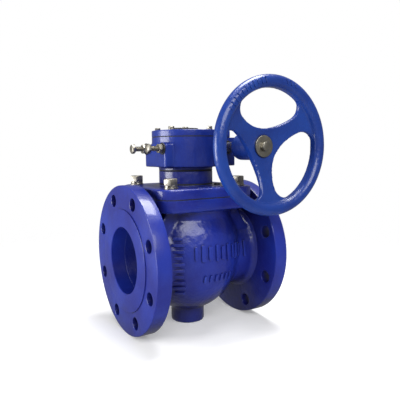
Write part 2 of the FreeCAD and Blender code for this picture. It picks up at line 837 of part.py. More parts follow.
def gap_half_width(radius):
    """Half the width of a tooth gap of the sector gear at a radius, with its backlash."""
    pressure = math.radians(pressure_angle)
    base_radius = gear_pitch_radius * math.cos(pressure)
    at_radius = math.acos(min(1.0, base_radius / radius))
    tooth = math.pi / (2 * gear_teeth) + involute(pressure) - involute(at_radius)
    return radius * (math.pi / gear_teeth - tooth) + flank_gap


def tooth_gap(z0, z1):
    """One slanted tooth gap of the sector gear at the mesh point."""
    lead_slope = -axial_pitch / (2 * math.pi * worm_pitch_radius)
    radii = (gear_root_radius, gear_pitch_radius, gear_tip_radius + 0.6)
    shift = lead_slope * (z0 - worm_axis_z)
    right = [Vector(stem_x + r, stem_offset - gap_half_width(r) + shift, z0) for r in radii]
    left = [Vector(stem_x + r, stem_offset + gap_half_width(r) + shift, z0) for r in reversed(radii)]
    return profile_face(right + left).extrude(Vector(0, lead_slope * (z1 - z0), z1 - z0))


def sector_gear():
    """Sector gear with its hub and journals; its end faces meet the stop screws."""
    z0 = worm_axis_z - sector_width / 2
    z1 = worm_axis_z + sector_width / 2
    sweep = quarter_turn + 2 * sector_overrun
    foot = Vector(stem_x, stem_offset, z0)
    pie = Part.makeCylinder(gear_tip_radius, sector_width, foot, Vector(0, 0, 1), sweep)
    pie = turn(pie, -quarter_turn - sector_overrun)
    gap = tooth_gap(z0 - 1, z1 + 1)
    steps = range(-int((quarter_turn + sector_overrun) * gear_teeth / 360) - 1,
                  int(sector_overrun * gear_teeth / 360) + 2)
    pie = pie.cut([turn(gap, 360 / gear_teeth * i) for i in steps])
    hub = post(sector_hub_radius, floor_top_z + 1.5, cover_bottom_z - 3)
    low = post(sector_journal_radius, base_z + 2, floor_top_z + 2)
    top = post(sector_top_journal_radius, cover_bottom_z - 4, cover_top_z + indicator_gap)
    shape = hub.fuse([low, top, pie])
    bore = post(stem_drive_radius + assembly_gap, base_z, housing_top_z - 1 + assembly_gap)
    screw = post(indicator_screw_radius + screw_clearance, housing_top_z - 2, cover_top_z + 5)
    return shape.cut([bore, screw, closed_to_open(key_slot(assembly_gap))]).removeSplitter()


def worm_thread():
    """Left-hand worm thread, its middle turn centred on the sector's tooth gap."""
    turns = 4
    length = turns * axial_pitch
    slope = math.tan(math.radians(pressure_angle))
    half = axial_pitch / 4 - flank_gap
    inner = worm_shaft_radius - 0.2
    wide = half + (worm_pitch_radius - inner) * slope
    narrow = half - (worm_tip_radius - worm_pitch_radius) * slope
    helix = Part.makeHelix(axial_pitch, length, worm_pitch_radius, 0, True)
    points = [Vector(inner, 0, -wide), Vector(worm_tip_radius, 0, -narrow),
              Vector(worm_tip_radius, 0, narrow), Vector(inner, 0, wide)]
    section = Part.makePolygon(points + [points[0]])
    thread = Part.Wire(helix.Edges).makePipeShell([section], True, True)
    thread.translate(Vector(0, 0, -length / 2))
    thread.rotate(Vector(0, 0, 0), Vector(1, 0, 0), -90)
    thread.rotate(Vector(0, 0, 0), Vector(0, 1, 0), 180)
    thread.translate(Vector(worm_x, stem_offset, worm_axis_z))
    return thread


def worm_shaft():
    """Worm with its collars and journals; the front end carries the handwheel."""
    collar_out = worm_thread_half_length + worm_collar_length
    core = bar_y(worm_shaft_radius, wheel_face_y + 1, stem_offset + worm_rear_length)
    collars = [bar_y(worm_collar_radius, stem_offset - collar_out, stem_offset - worm_thread_half_length),
               bar_y(worm_collar_radius, stem_offset + worm_thread_half_length, stem_offset + collar_out)]
    window = bar_y(worm_tip_radius + 1, stem_offset - worm_thread_half_length,
                   stem_offset + worm_thread_half_length)
    shape = core.fuse([worm_thread().common(window)] + collars)
    tapped = bar_y(wheel_bolt_radius + assembly_gap, wheel_face_y, wheel_face_y + wheel_bolt_length)
    return shape.cut([tapped, wheel_key_slot(assembly_gap)])


def worm_front_bush():
    outer = stem_offset - worm_thread_half_length - worm_collar_length - worm_end_gap
    return bar_y(worm_bush_radius, outer - worm_bush_length, outer).cut(
        bar_y(worm_shaft_radius + running_gap, outer - 20, outer + 1))


def worm_rear_bush():
    inner = stem_offset + worm_thread_half_length + worm_collar_length + worm_end_gap
    relief = post(gear_tip_radius + worm_tip_gap, housing_bottom_z, housing_top_z)
    return bar_y(worm_bore_radius, inner, inner + worm_bush_length + 1).cut(
        [bar_y(worm_shaft_radius + running_gap, inner - 1, inner + 20), relief])


def worm_shaft_seal():
    """Black lip seal that stands a little proud of the worm block."""
    bush_end = stem_offset - worm_thread_half_length - worm_collar_length - worm_end_gap - worm_bush_length
    face = stem_offset - worm_block_half_length - worm_seal_proud
    return bar_y(worm_bush_radius, face, bush_end).cut(
        bar_y(worm_shaft_radius + running_gap, face - 1, bush_end + 1))


def worm_end_seal():
    face = stem_offset + worm_block_half_length
    return bar_y(end_plug_flange_radius, face, face + end_seal_thickness).cut(
        bar_y(worm_bore_radius, face - 1, face + end_seal_thickness + 1))


def worm_end_plug():
    """Screwed plug that closes the worm bore at the back."""
    face = stem_offset + worm_block_half_length
    inner = stem_offset + worm_thread_half_length + worm_collar_length + worm_end_gap + worm_bush_length + 1
    shank = bar_y(worm_bore_radius - assembly_gap, inner, face + end_seal_thickness)
    seat = face + end_seal_thickness
    flange = bar_y(end_plug_flange_radius, seat, seat + end_plug_flange)
    mouth = Vector(worm_x, face + end_plug_flange - 3, worm_axis_z)
    socket = hexagon(end_plug_socket, 8, mouth, Vector(0, 1, 0))
    return shank.fuse(flange).cut(socket).removeSplitter()


# ---------------------------------------------------------------- stop screws

def stop_contact_x():
    """Where a stop screw's tip ends: just short of the sector's end face, relative to the stem axis."""
    angle = math.radians(quarter_turn + sector_overrun)
    return (stop_screw_offset + stop_screw_radius) / math.tan(angle) - stop_gap


def stop_screws():
    """Hexagon screws that end the sector's travel, open and closed."""
    head_x = stem_x + stop_block_x - stop_screw_reach
    screws = []
    for side in (-1, 1):
        y = stem_offset + side * stop_screw_offset
        shank = bar_x(stop_screw_radius, head_x + stop_screw_head - 1, stem_x + stop_contact_x(),
                      y, stop_screw_z)
        head = hex_head(stop_screw_flats, stop_screw_head, Vector(head_x + stop_screw_head, y, stop_screw_z),
                        Vector(-1, 0, 0))
        screws.append(shank.fuse(head).removeSplitter())
    return screws


def stop_washers():
    """Sealing washers under the stop screws' lock nuts."""
    x1 = stem_x + stop_block_x
    washers = []
    for side in (-1, 1):
        y = stem_offset + side * stop_screw_offset
        washers.append(bar_x(stop_washer_radius, x1 - stop_washer_thickness, x1, y, stop_screw_z).cut(
            bar_x(stop_screw_radius + assembly_gap, x1 - 10, x1 + 1, y, stop_screw_z)))
    return washers


def stop_lock_nuts():
    x1 = stem_x + stop_block_x - stop_washer_thickness
    nuts = []
    for side in (-1, 1):
        y = stem_offset + side * stop_screw_offset
        nut = hex_head(stop_screw_flats, stop_nut_height, Vector(x1, y, stop_screw_z), Vector(-1, 0, 0))
        nuts.append(nut.cut(bar_x(stop_screw_radius + assembly_gap, x1 - 20, x1 + 1, y, stop_screw_z)))
    return nuts


# ---------------------------------------------------------------- indicator

def indicator():
    """Black pointer disc on the sector's top journal, its bar in line with the plug's leaf."""
    z0 = cover_top_z + indicator_gap
    disc = post(indicator_radius, z0, z0 + indicator_thickness)
    bar = block(-indicator_radius + 2, indicator_radius - 2, -indicator_bar_width / 2, indicator_bar_width / 2,
                z0 + indicator_thickness - 0.5, z0 + indicator_thickness + indicator_bar_height)
    hole = post(indicator_screw_radius + screw_clearance, z0 - 1, z0 + 10)
    return disc.fuse(bar).cut(hole).removeSplitter()


def indicator_screw():
    """Pan head screw through the indicator into the end of the stem."""
    z0 = cover_top_z + indicator_gap + indicator_thickness + indicator_bar_height
    shank = post(indicator_screw_radius, housing_top_z - indicator_screw_length + 0.5, z0 + 0.5)
    head = post(indicator_screw_head_radius, z0, z0 + 1.6)
    slot = block(-6, 6, -0.6, 0.6, z0 + 0.8, z0 + 3)
    return shank.fuse(head).cut(slot).removeSplitter()


# ---------------------------------------------------------------- handwheel

def wheel_opening():
    """One egg-shaped opening between two spokes: two arcs that cross, with rounded corners."""
    depth = 60
    start = Vector(0, -depth, 0)
    outer = Part.makeCylinder(wheel_rim_radius - wheel_tube_radius, 2 * depth, start, Vector(0, 1, 0))
    centre = Vector(0, -depth, wheel_opening_inner + wheel_opening_arc)
    inner = Part.makeCylinder(wheel_opening_arc, 2 * depth, centre, Vector(0, 1, 0))
    lens = outer.common(inner).removeSplitter()
    corners = [e for e in lens.Edges if len(e.Vertexes) == 2 and abs(e.BoundBox.YLength - 2 * depth) < 1e-3
               and e.BoundBox.XLength < 1e-3 and abs(e.Vertexes[0].Point.x) > 10]
    return lens.makeFillet(wheel_opening_corner, corners)


def handwheel():
    """Dished handwheel: round rim, three broad spokes and a long hub with a cone behind."""
    half = wheel_web_thickness / 2
    dish = wheel_dish - wheel_tube_radius + half
    knee_radius = wheel_rim_radius * wheel_knee_share
    knee_y = -dish * wheel_knee_share
    front = [(wheel_hub_radius, 0), (knee_radius, knee_y), (wheel_rim_radius, -wheel_dish - half + 2)]
    back = [(wheel_rim_radius, -wheel_dish + half + 1), (knee_radius, knee_y + half * 2),
            (wheel_hub_radius - 1, half * 2 + 4)]
    outline = [Vector(r, y, 0) for r, y in front + back]
    web = profile_face(outline).revolve(Vector(0, 0, 0), Vector(0, 1, 0), 360)
    step = 360 / wheel_spoke_count
    web = web.cut([spun_wheel(wheel_opening(), step * i) for i in range(wheel_spoke_count)])
    web.translate(Vector(worm_x, wheel_face_y, worm_axis_z))
    rim = Part.makeTorus(wheel_rim_radius, wheel_tube_radius, Vector(worm_x, wheel_rim_y, worm_axis_z),
                         Vector(0, 1, 0))
    hub = bar_y(wheel_hub_radius, wheel_face_y, wheel_hub_back_y)
    nose = Part.makeCone(wheel_hub_radius, wheel_hub_nose_radius, wheel_hub_nose_y - wheel_hub_back_y,
                         Vector(worm_x, wheel_hub_back_y, worm_axis_z), Vector(0, 1, 0))
    shape = web.fuse([rim, hub, nose])
    bore = bar_y(worm_shaft_radius + assembly_gap, wheel_face_y - 1, wheel_hub_nose_y + 1)
    return shape.cut([bore, wheel_key_slot(assembly_gap)]).removeSplitter()


def spun_wheel(shape, angle):
    """Copy of a shape turned about the Y axis through the origin."""
    copy = shape.copy()
    copy.rotate(Vector(0, 0, 0), Vector(0, 1, 0), angle)
    return copy


def wheel_key_slot(gap):
    """Space of the handwheel key, on top of the shaft."""
    z0 = worm_axis_z + worm_shaft_radius - wheel_key_depth - gap
    half = wheel_key_width / 2 + gap
    y0 = wheel_hub_back_y - wheel_key_length - gap
    return Part.makeBox(2 * half, wheel_key_length + 2 * gap, wheel_key_height + 2 * gap,
                        Vector(worm_x - half, y0, z0))


def handwheel_washer():
    return bar_y(wheel_washer_radius, wheel_face_y - wheel_washer_thickness, wheel_face_y).cut(
        bar_y(wheel_bolt_radius + screw_clearance, wheel_face_y - 10, wheel_face_y + 1))


def handwheel_bolt():
    """Hexagon bolt that holds the handwheel on its shaft."""
    y = wheel_face_y - wheel_washer_thickness
    shank = bar_y(wheel_bolt_radius, y - 1, wheel_face_y + wheel_bolt_length - 1)
    head = hex_head(wheel_bolt_flats, wheel_bolt_head, Vector(worm_x, y, worm_axis_z), Vector(0, -1, 0))
    return shank.fuse(head).removeSplitter()


# ---------------------------------------------------------------- write every sub-part

os.makedirs("parts", exist_ok=True)
save("body_casting", body_casting())
save("seat_ring", seat_ring())
save("plug", plug())
save("plug_facing", plug_facing())
save("lower_bearing_bush", lower_bearing_bush())
save("lower_grit_seal", lower_grit_seal())
save("lower_thrust_washer", lower_thrust_washer())
save("upper_bearing_bush", upper_bearing_bush())
save("upper_grit_seal", upper_grit_seal())
save("packing_rings", *packing_rings())
save("packing_gland", packing_gland())
save("bonnet_gasket", bonnet_gasket())
save("bonnet", bonnet())
save("bonnet_bolts", *bonnet_bolts())
save("bonnet_flat_washers", *bonnet_flat_washers())
save("bonnet_spring_washers", *bonnet_spring_washers())
save("bonnet_pipe_plug", bonnet_pipe_plug())
save("lower_neck_seal", lower_neck_seal())
save("adapter_neck", adapter_neck())
save("upper_neck_seal", upper_neck_seal())
save("neck_screws", *neck_screws())
save("gearbox_housing", gearbox_housing())
save("cover_gasket", cover_gasket())
save("gearbox_cover", gearbox_cover())
save("cover_screws", *cover_screws())
save("cover_washers", *cover_washers())
save("sector_floor_bush", sector_floor_bush())
save("sector_thrust_washer", sector_thrust_washer())
save("sector_gear", sector_gear())
save("sector_key", sector_key())
save("indicator_seal", indicator_seal())
save("indicator", indicator())
save("indicator_screw", indicator_screw())
save("worm_shaft", worm_shaft())
save("worm_front_bush", worm_front_bush())
save("worm_rear_bush", worm_rear_bush())
save("worm_shaft_seal", worm_shaft_seal())
save("worm_end_seal", worm_end_seal())
save("worm_end_plug", worm_end_plug())
save("stop_screws", *stop_screws())
save("stop_lock_nuts", *stop_lock_nuts())
save("stop_washers", *stop_washers())
save("handwheel", handwheel())
save("handwheel_key", wheel_key_slot(0))
save("handwheel_washer", handwheel_washer())
save("handwheel_bolt", handwheel_bolt())
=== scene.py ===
# %% [markdown]
# # A gear-operated plug valve
# This lesson dresses a working model of a flanged 4 inch plug valve. The working model, called the
# frame, already has every part at its true size and place. What it lacks is what a foundry and a
# paint shop add: rounded cast corners, slightly lumpy skins, turned faces, threads and thick blue
# epoxy. Each step below makes one visible part again as a fine mesh that stands for its frame part.

# %% Load the frame
import json
import math

import bmesh
import bpy
import numpy as np
from mathutils import Matrix, Vector, noise
from mathutils.bvhtree import BVHTree


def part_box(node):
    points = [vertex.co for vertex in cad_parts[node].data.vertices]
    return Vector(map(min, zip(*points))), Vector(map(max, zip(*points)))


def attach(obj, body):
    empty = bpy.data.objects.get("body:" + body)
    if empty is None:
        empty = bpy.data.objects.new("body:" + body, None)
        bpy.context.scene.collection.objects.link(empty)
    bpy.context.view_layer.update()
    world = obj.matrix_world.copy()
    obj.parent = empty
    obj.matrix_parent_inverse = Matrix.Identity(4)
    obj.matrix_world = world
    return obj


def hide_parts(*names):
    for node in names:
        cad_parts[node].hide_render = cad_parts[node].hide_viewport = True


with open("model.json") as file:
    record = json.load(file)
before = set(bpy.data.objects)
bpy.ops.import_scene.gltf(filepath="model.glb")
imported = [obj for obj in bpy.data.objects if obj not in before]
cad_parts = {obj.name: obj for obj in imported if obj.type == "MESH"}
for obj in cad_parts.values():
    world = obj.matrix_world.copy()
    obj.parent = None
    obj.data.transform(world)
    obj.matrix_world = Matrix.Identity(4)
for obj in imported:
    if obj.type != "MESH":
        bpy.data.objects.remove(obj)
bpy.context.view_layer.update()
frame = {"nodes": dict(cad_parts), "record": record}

# %% [markdown]
# All places come from the boxes of the frame's parts. The flow runs along X through the origin, and
# the stem stands upright halfway between the flanges. Two small readers turn a box into a centre
# and a size, so that later cells say what they mean.

# %% Axes of the valve
MM = 0.001


def low(part):
    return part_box(part)[0]


def high(part):
    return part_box(part)[1]


def middle(part):
    return (low(part) + high(part)) / 2


STEM = Vector((middle("adapter_neck").x, middle("adapter_neck").y, 0))
WORM = Vector((middle("worm_front_bush").x, 0, middle("worm_front_bush").z))
FACE_TO_FACE = high("body_casting").x
FLANGE_RADIUS = high("body_casting").y
FLOOR_Z = low("body_casting").z
UP, ALONG, BACKWARD = Vector((0, 0, 1)), Vector((1, 0, 0)), Vector((0, 1, 0))
print("stem at", [round(v, 4) for v in STEM], "worm axis at", [round(v, 4) for v in WORM])

# %% [markdown]
# Most valve parts are turned on a lathe, so the first tool spins an outline. An outline is a list
# of (radius, distance) points, and it closes on the axis or on itself. Corners are rounded where
# the outline is written, with `arc`, because a mesh that is born with its corners is cleaner than
# one that is bevelled later.


# %% Lathe tool
def piece_from(name, mesh_maker):
    """Object holding the bmesh, with its faces turned outwards."""
    bmesh.ops.recalc_face_normals(mesh_maker, faces=mesh_maker.faces)
    mesh = bpy.data.meshes.new(name)
    mesh_maker.to_mesh(mesh)
    mesh_maker.free()
    piece = bpy.data.objects.new(name, mesh)
    bpy.context.scene.collection.objects.link(piece)
    return piece


def turn_towards(direction):
    """Rotation that carries +Z to a direction."""
    return UP.rotation_difference(Vector(direction)).to_matrix().to_4x4()


def stood(piece, place, direction, twist=0.0):
    """Moves a piece's mesh from the origin to its place, its +Z turned to a direction."""
    spin = Matrix.Rotation(twist, 4, "Z")
    piece.data.transform(Matrix.Translation(Vector(place)) @ turn_towards(direction) @ spin)
    return piece


def arc(radius_at, along_at, size, start, end, steps=4):
    """Points of a rounded corner about (radius_at, along_at), between two angles in degrees."""
    angles = [math.radians(start + (end - start) * i / steps) for i in range(steps + 1)]
    return [(radius_at + size * math.cos(a), along_at + size * math.sin(a)) for a in angles]


def turned(name, outline, place=(0, 0, 0), direction=UP, steps=96):
    """Solid spun from (radius, distance) points; a point at radius 0 lies on the axis."""
    solid = bmesh.new()
    rings = []
    for radius, along in outline:
        if radius < 1e-7:
            rings.append([solid.verts.new((0, 0, along))])
            continue
        turns = [2 * math.pi * i / steps for i in range(steps)]
        rings.append([solid.verts.new((radius * math.cos(a), radius * math.sin(a), along))
                      for a in turns])
    closed = outline[0][0] > 1e-7
    pairs = list(zip(rings, rings[1:])) + ([(rings[-1], rings[0])] if closed else [])
    for one, two in pairs:
        for i in range(steps):
            j = (i + 1) % steps
            corners = [one[i % len(one)], one[j % len(one)], two[j % len(two)], two[i % len(two)]]
            distinct = list(dict.fromkeys(corners))
            if len(distinct) > 2:
                solid.faces.new(distinct)
    return stood(piece_from(name, solid), place, direction)


def plain_disc(radius, start, end):
    """Outline of a solid disc with sharp rims."""
    return [(0, start), (radius, start), (radius, end), (0, end)]


def disc_outline(radius, start, end, edge):
    """Outline of a solid disc whose two rims are rounded."""
    rim = arc(radius - edge, start + edge, edge, -90, 0) + arc(radius - edge, end - edge, edge, 0, 90)
    return [(0, start)] + rim + [(0, end)]


def ring_outline(inner, outer, start, end, edge):
    """Outline of a ring with four rounded corners."""
    corners = ((outer - edge, start + edge, -90), (outer - edge, end - edge, 0),
               (inner + edge, end - edge, 90), (inner + edge, start + edge, 180))
    return [p for r, a, angle in corners for p in arc(r, a, edge, angle, angle + 90, 3)]


print("lathe ready")

# %% [markdown]
# Plates, blocks and hexagons are pushed out of a flat outline instead. `rounded_outline` gives the
# outline of a plate with round corners, and `pushed` stacks copies of any outline, each drawn in a
# little, so that the rim of the plate is rounded too.


# %% Plate tool
def rounded_outline(half_x, half_y, corner, steps=10):
    """Points of a rectangle with round corners, counter-clockwise."""
    return [point for sx, sy, start in ((1, 1, 0), (-1, 1, 90), (-1, -1, 180), (1, -1, 270))
            for point in arc(sx * (half_x - corner), sy * (half_y - corner), corner,
                             start, start + 90, steps)]


def skinned(name, solid, rings):
    """Closed skin over a stack of rings that have the same number of points."""
    count = len(rings[0])
    for one, two in zip(rings, rings[1:]):
        for i in range(count):
            j = (i + 1) % count
            solid.faces.new((one[i], one[j], two[j], two[i]))
    solid.faces.new(rings[0])
    solid.faces.new(rings[-1])
    return piece_from(name, solid)


SHARPEST_CORNER = 0.3


def pushed(name, outline, levels, place=(0, 0, 0), direction=UP, twist=0.0):
    """Solid with the outline at each (distance, draw-in) level."""
    solid = bmesh.new()
    count = len(outline)
    ahead = [Vector(outline[(i + 1) % count]) - Vector(outline[i]) for i in range(count)]
    outward = []
    for i in range(count):
        both = ahead[i - 1].normalized() + ahead[i].normalized()
        side = Vector((both.y, -both.x)).normalized()
        straight = Vector((ahead[i].y, -ahead[i].x)).normalized()
        outward.append(side / max(side.dot(straight), SHARPEST_CORNER))
    rings = []
    for along, inset in levels:
        rings.append([solid.verts.new((x - inset * o.x, y - inset * o.y, along))
                      for (x, y), o in zip(outline, outward)])
    return stood(skinned(name, solid, rings), place, direction, twist)


def soft_levels(start, end, lower_edge, upper_edge, steps=4):
    """Levels of a plate whose lower and upper rims are rounded."""
    angles = [math.radians(90 * i / steps) for i in range(steps + 1)]
    bends = [(1 - math.sin(a), 1 - math.cos(a)) for a in angles]
    lower = [(start + lower_edge * rise, lower_edge * inset) for rise, inset in reversed(bends)]
    upper = [(end - upper_edge * rise, upper_edge * inset) for rise, inset in bends]
    return lower + upper


def slab(name, half_x, half_y, corner, start, end, edge, place, direction=UP):
    """Rounded plate between two heights."""
    return pushed(name, rounded_outline(half_x, half_y, corner),
                  soft_levels(start, end, edge, edge), place, direction)


print("plate tool ready")

# %% [markdown]
# Solids are joined and cut with the Boolean modifier. Its manifold solver is quick and leaves one
# closed skin, which is what a real casting or machined part has. `finished` bakes the modifiers
# into the mesh, and throws the tools away.


# %% Joining and cutting
def finished(piece):
    """Apply a piece's modifiers to its own mesh."""
    bpy.context.view_layer.update()
    graph = bpy.context.evaluated_depsgraph_get()
    mesh = bpy.data.meshes.new_from_object(piece.evaluated_get(graph))
    old = piece.data
    piece.modifiers.clear()
    piece.data = mesh
    bpy.data.meshes.remove(old)
    return piece


def combined(piece, operation, tools):
    """Boolean of a piece with several tools, which are used up."""
    for tool in tools:
        step = piece.modifiers.new(operation, "BOOLEAN")
        step.operation = operation
        step.solver = "MANIFOLD"
        step.object = tool
    finished(piece)
    for tool in tools:
        bpy.data.objects.remove(tool)
    return piece


def joined(piece, *tools):
    return combined(piece, "UNION", tools)


def cut(piece, *tools):
    return combined(piece, "DIFFERENCE", tools)


THROUGH = 10 * MM


def hole(radius, start, end, place, direction=UP, steps=32):
    """Cutter for a plain hole; it passes both ends a little, so that no thin skin is left."""
    return turned("hole", plain_disc(radius, start - THROUGH, end + THROUGH), place, direction, steps)


def smooth(piece, angle=32):
    """Shade smooth across gentle angles and sharp across the rest."""
    piece.data.shade_smooth()
    piece.data.set_sharp_from_angle(angle=math.radians(angle))
    return piece


print("boolean tools ready")

# %% [markdown]
# A casting has no sharp inside corners, because sand and molten iron don't make them. The way to
# get that is to merge the rough solids on a fine voxel grid and then let the skin relax: each point
# moves towards the middle of its neighbours a few times, which rounds corners and fills creases.
# A low, slow noise then gives the skin the slight waves of a sand mould.


# %% Foundry tool
def relax(mesh, rounds):
    """Move each point towards its neighbours' middle, several times."""
    points = np.empty(len(mesh.vertices) * 3)
    mesh.vertices.foreach_get("co", points)
    points = points.reshape(-1, 3)
    edges = np.empty(len(mesh.edges) * 2, int)
    mesh.edges.foreach_get("vertices", edges)
    one, two = edges.reshape(-1, 2).T
    count = np.bincount(np.concatenate((one, two)), minlength=len(points))[:, None]
    for _ in range(rounds):
        total = np.stack([np.bincount(one, points[two, k], len(points))
                          + np.bincount(two, points[one, k], len(points)) for k in range(3)], 1)
        points = points * 0.5 + total / count * 0.5
    mesh.vertices.foreach_set("co", points.ravel())
    mesh.update()


RIPPLE_SHARE, RIPPLES_A_WAVE = 0.45, 3.1


def cast(name, solids, voxel, rounds, waves, wave_length):
    """One cast skin round several overlapping solids."""
    rough = solids[0]
    maker = bmesh.new()
    for solid in solids:
        maker.from_mesh(solid.data)
    for solid in solids[1:]:
        bpy.data.objects.remove(solid)
    maker.to_mesh(rough.data)
    maker.free()
    rough.name = name
    grid = rough.modifiers.new("grid", "REMESH")
    grid.mode = "VOXEL"
    grid.voxel_size = voxel
    finished(rough)
    relax(rough.data, rounds)
    sides = [normal.vector.copy() for normal in rough.data.vertex_normals]
    for point, side in zip(rough.data.vertices, sides):
        at = point.co / wave_length
        ripples = RIPPLE_SHARE * noise.noise(at * RIPPLES_A_WAVE)
        point.co += side * waves * (noise.noise(at) + ripples)
    print(name, "cast skin of", len(rough.data.polygons), "faces")
    return rough


print("foundry ready")

# %% [markdown]
# ## The body casting
# The body is an egg-shaped belly on the stem axis, a neck to each end flange, a square top flange,
# four sloping ribs and a round foot. These are merged as one casting. Only afterwards do the turned
# flanges, the square's flat top and the flow way get their crisp edges, in the same order as in a
# real foundry and machine shop.

# %% Body: rough shapes
FLANGE_THICKNESS = 23.8 * MM
RAISED_FACE = (78.6 * MM, 1.6 * MM)
NECK_RADIUS, NECK_FILLET = 63 * MM, 10 * MM
BELLY_RADIUS, BELLY_HALF_HEIGHT, BELLY_Z = 87 * MM, 100.8 * MM, 6 * MM
BODY_TOP = low("bonnet_gasket").z
SQUARE_HALF = (high("bonnet").x - low("bonnet").x) / 2
SQUARE_CORNER = 26 * MM
SQUARE_THICKNESS = 18.8 * MM
BOSS_RADIUS = 27.4 * MM
COLLAR_RADIUS = 73 * MM
RIB_OFFSET, RIB_HALF = 50 * MM, 4.5 * MM
RIB_START, RIB_TOP_REACH, RIB_KNEE_REACH, RIB_FOOT = 27 * MM, 60 * MM, 63 * MM, 28 * MM
SUNK = 3 * MM
TO_CUT = 8 * MM


def ellipse_outline(radius, half_height, centre, top, steps=48):
    """Half of an ellipse from its foot up to a level cut."""
    points = []
    for i in range(steps + 1):
        a = -math.pi / 2 + math.pi * i / steps
        z = centre + half_height * math.sin(a)
        if z < top:
            points.append((radius * max(math.cos(a), 0.0), z))
    last = math.sqrt(1 - ((top - centre) / half_height) ** 2)
    return points + [(radius * last, top), (0, top)]


def neck_outline():
    """Neck from inside the flange to the middle of the valve, with the fillet behind the flange."""
    back = FLANGE_THICKNESS
    fillet = arc(NECK_RADIUS + NECK_FILLET, back + NECK_FILLET, NECK_FILLET, -100, -180, 8)
    inside = fillet[0][0]
    end = [(NECK_RADIUS, FACE_TO_FACE / 2), (0, FACE_TO_FACE / 2)]
    return [(0, back / 2), (inside, back / 2)] + fillet + end


def rib(end, side):
    """Sloping rib from the square flange's corner to the back of an end flange."""
    reach = FACE_TO_FACE / 2 - FLANGE_THICKNESS + SUNK
    top = BODY_TOP - SUNK
    knee = top - SQUARE_THICKNESS + 4 * MM
    outline = [(RIB_START, 0), (reach, 0), (reach, RIB_FOOT), (RIB_KNEE_REACH, knee),
               (RIB_TOP_REACH, top), (RIB_START, top)]
    piece = pushed("rib", outline, [(-RIB_HALF, 0), (RIB_HALF, 0)])
    middle_y = STEM.y + side * RIB_OFFSET
    piece.data.transform(Matrix(((end, 0, 0, STEM.x), (0, 0, 1, middle_y), (0, 1, 0, 0), (0, 0, 0, 1))))
    return piece


belly_top = BODY_TOP - SQUARE_THICKNESS + 2 * MM
body_solids = [
    turned("belly", ellipse_outline(BELLY_RADIUS, BELLY_HALF_HEIGHT, BELLY_Z, belly_top), STEM),
    turned("collar", plain_disc(COLLAR_RADIUS, BELLY_Z, belly_top), STEM),
    turned("foot", plain_disc(BOSS_RADIUS, FLOOR_Z, BELLY_Z), STEM),
    turned("inlet_neck", neck_outline(), (0, 0, 0), ALONG),
    turned("outlet_neck", neck_outline(), (FACE_TO_FACE, 0, 0), -ALONG),
    slab("square", SQUARE_HALF, SQUARE_HALF, SQUARE_CORNER, BODY_TOP - SQUARE_THICKNESS,
         BODY_TOP + TO_CUT, 2 * MM, STEM),
] + [rib(end, side) for end in (-1, 1) for side in (-1, 1)]
body = cast("valve_body_casting", body_solids, voxel=1.7 * MM, rounds=9, waves=0.22 * MM,
            wave_length=25 * MM)

# %% [markdown]
# The foundry marks a body with raised signs: here a flow arrow, plain bars and a row of short pads.
# Each sign is a small rounded block. A ray is shot at the belly to find where the skin is and which
# way it faces, and the block is sunk into it so that it stands a little over two millimetres proud.

# %% Body: raised foundry marks
MARK_PROUD = 2.4 * MM
MARK_DEPTH = 4 * MM
MARK_CORNER_SHARE, MARK_EDGE = 0.3, 0.5 * MM


def skin_tree(piece):
    """Search tree over a piece's faces, for rays."""
    return BVHTree.FromPolygons([v.co for v in piece.data.vertices],
                                [p.vertices for p in piece.data.polygons])


def mark_on(tree, start, towards, width, height, up=UP, tilt=0.0, proud=MARK_PROUD):
    """Raised rounded block where a ray meets the skin."""
    place, side, _, _ = tree.ray_cast(Vector(start), Vector(towards).normalized())
    across = up.cross(side).normalized()
    upright = side.cross(across).normalized()
    block = slab("mark", width / 2, height / 2, min(width, height) * MARK_CORNER_SHARE,
                 -MARK_DEPTH, proud, MARK_EDGE, (0, 0, 0))
    stand = Matrix((across, upright, side)).transposed().to_4x4()
    block.data.transform(Matrix.Translation(place) @ stand @ Matrix.Rotation(tilt, 4, "Z"))
    return block


belly_tree = skin_tree(body)
OUTSIDE = 0.3


def belly_mark(azimuth, height, width, tall, tilt=0):
    """Mark at an azimuth about the stem in degrees; its height and sizes are in millimetres."""
    a = math.radians(azimuth)
    outward = Vector((math.cos(a), math.sin(a), 0))
    start = STEM + outward * OUTSIDE + Vector((0, 0, height * MM))
    return mark_on(belly_tree, start, -outward, width * MM, tall * MM, UP, math.radians(tilt))


front_row = [belly_mark(-111 + 7.4 * i, 14 - 0.6 * i, 6.4 if i % 3 else 4.2, 25 if i % 2 else 20)
             for i in range(10)]
size_row = [belly_mark(-101 + 6.6 * i, -27, 4.2, 12) for i in range(6)]
side_column = [belly_mark(-129, 36 - 9.4 * i, 20 if i % 3 else 15, 5) for i in range(10)]
arrow = [belly_mark(90, 12, 46, 6), belly_mark(76, 17.5, 20, 6, 40), belly_mark(76, 6.5, 20, 6, -40)]
marks = front_row + size_row + side_column + arrow
joined(body, *marks)
print("raised marks:", len(marks))

# %% [markdown]
# Both end flanges are turned discs, so they come from the lathe with small rounded rims and a
# raised face. Then the cutters follow: the flow way, the chamber, the seat pocket, eight bolt holes
# in each flange and four tapped holes under the bonnet. A hole's cutter flares at the surface, which
# leaves the soft lip that thick paint gives to a drilled hole.

# %% Body: turned flanges
BOLT_CIRCLE, BOLT_HOLE, BOLT_COUNT = 95.25 * MM, 9.525 * MM, 8
FLANGE_EDGE, FACE_EDGE = 1.1 * MM, 0.5 * MM


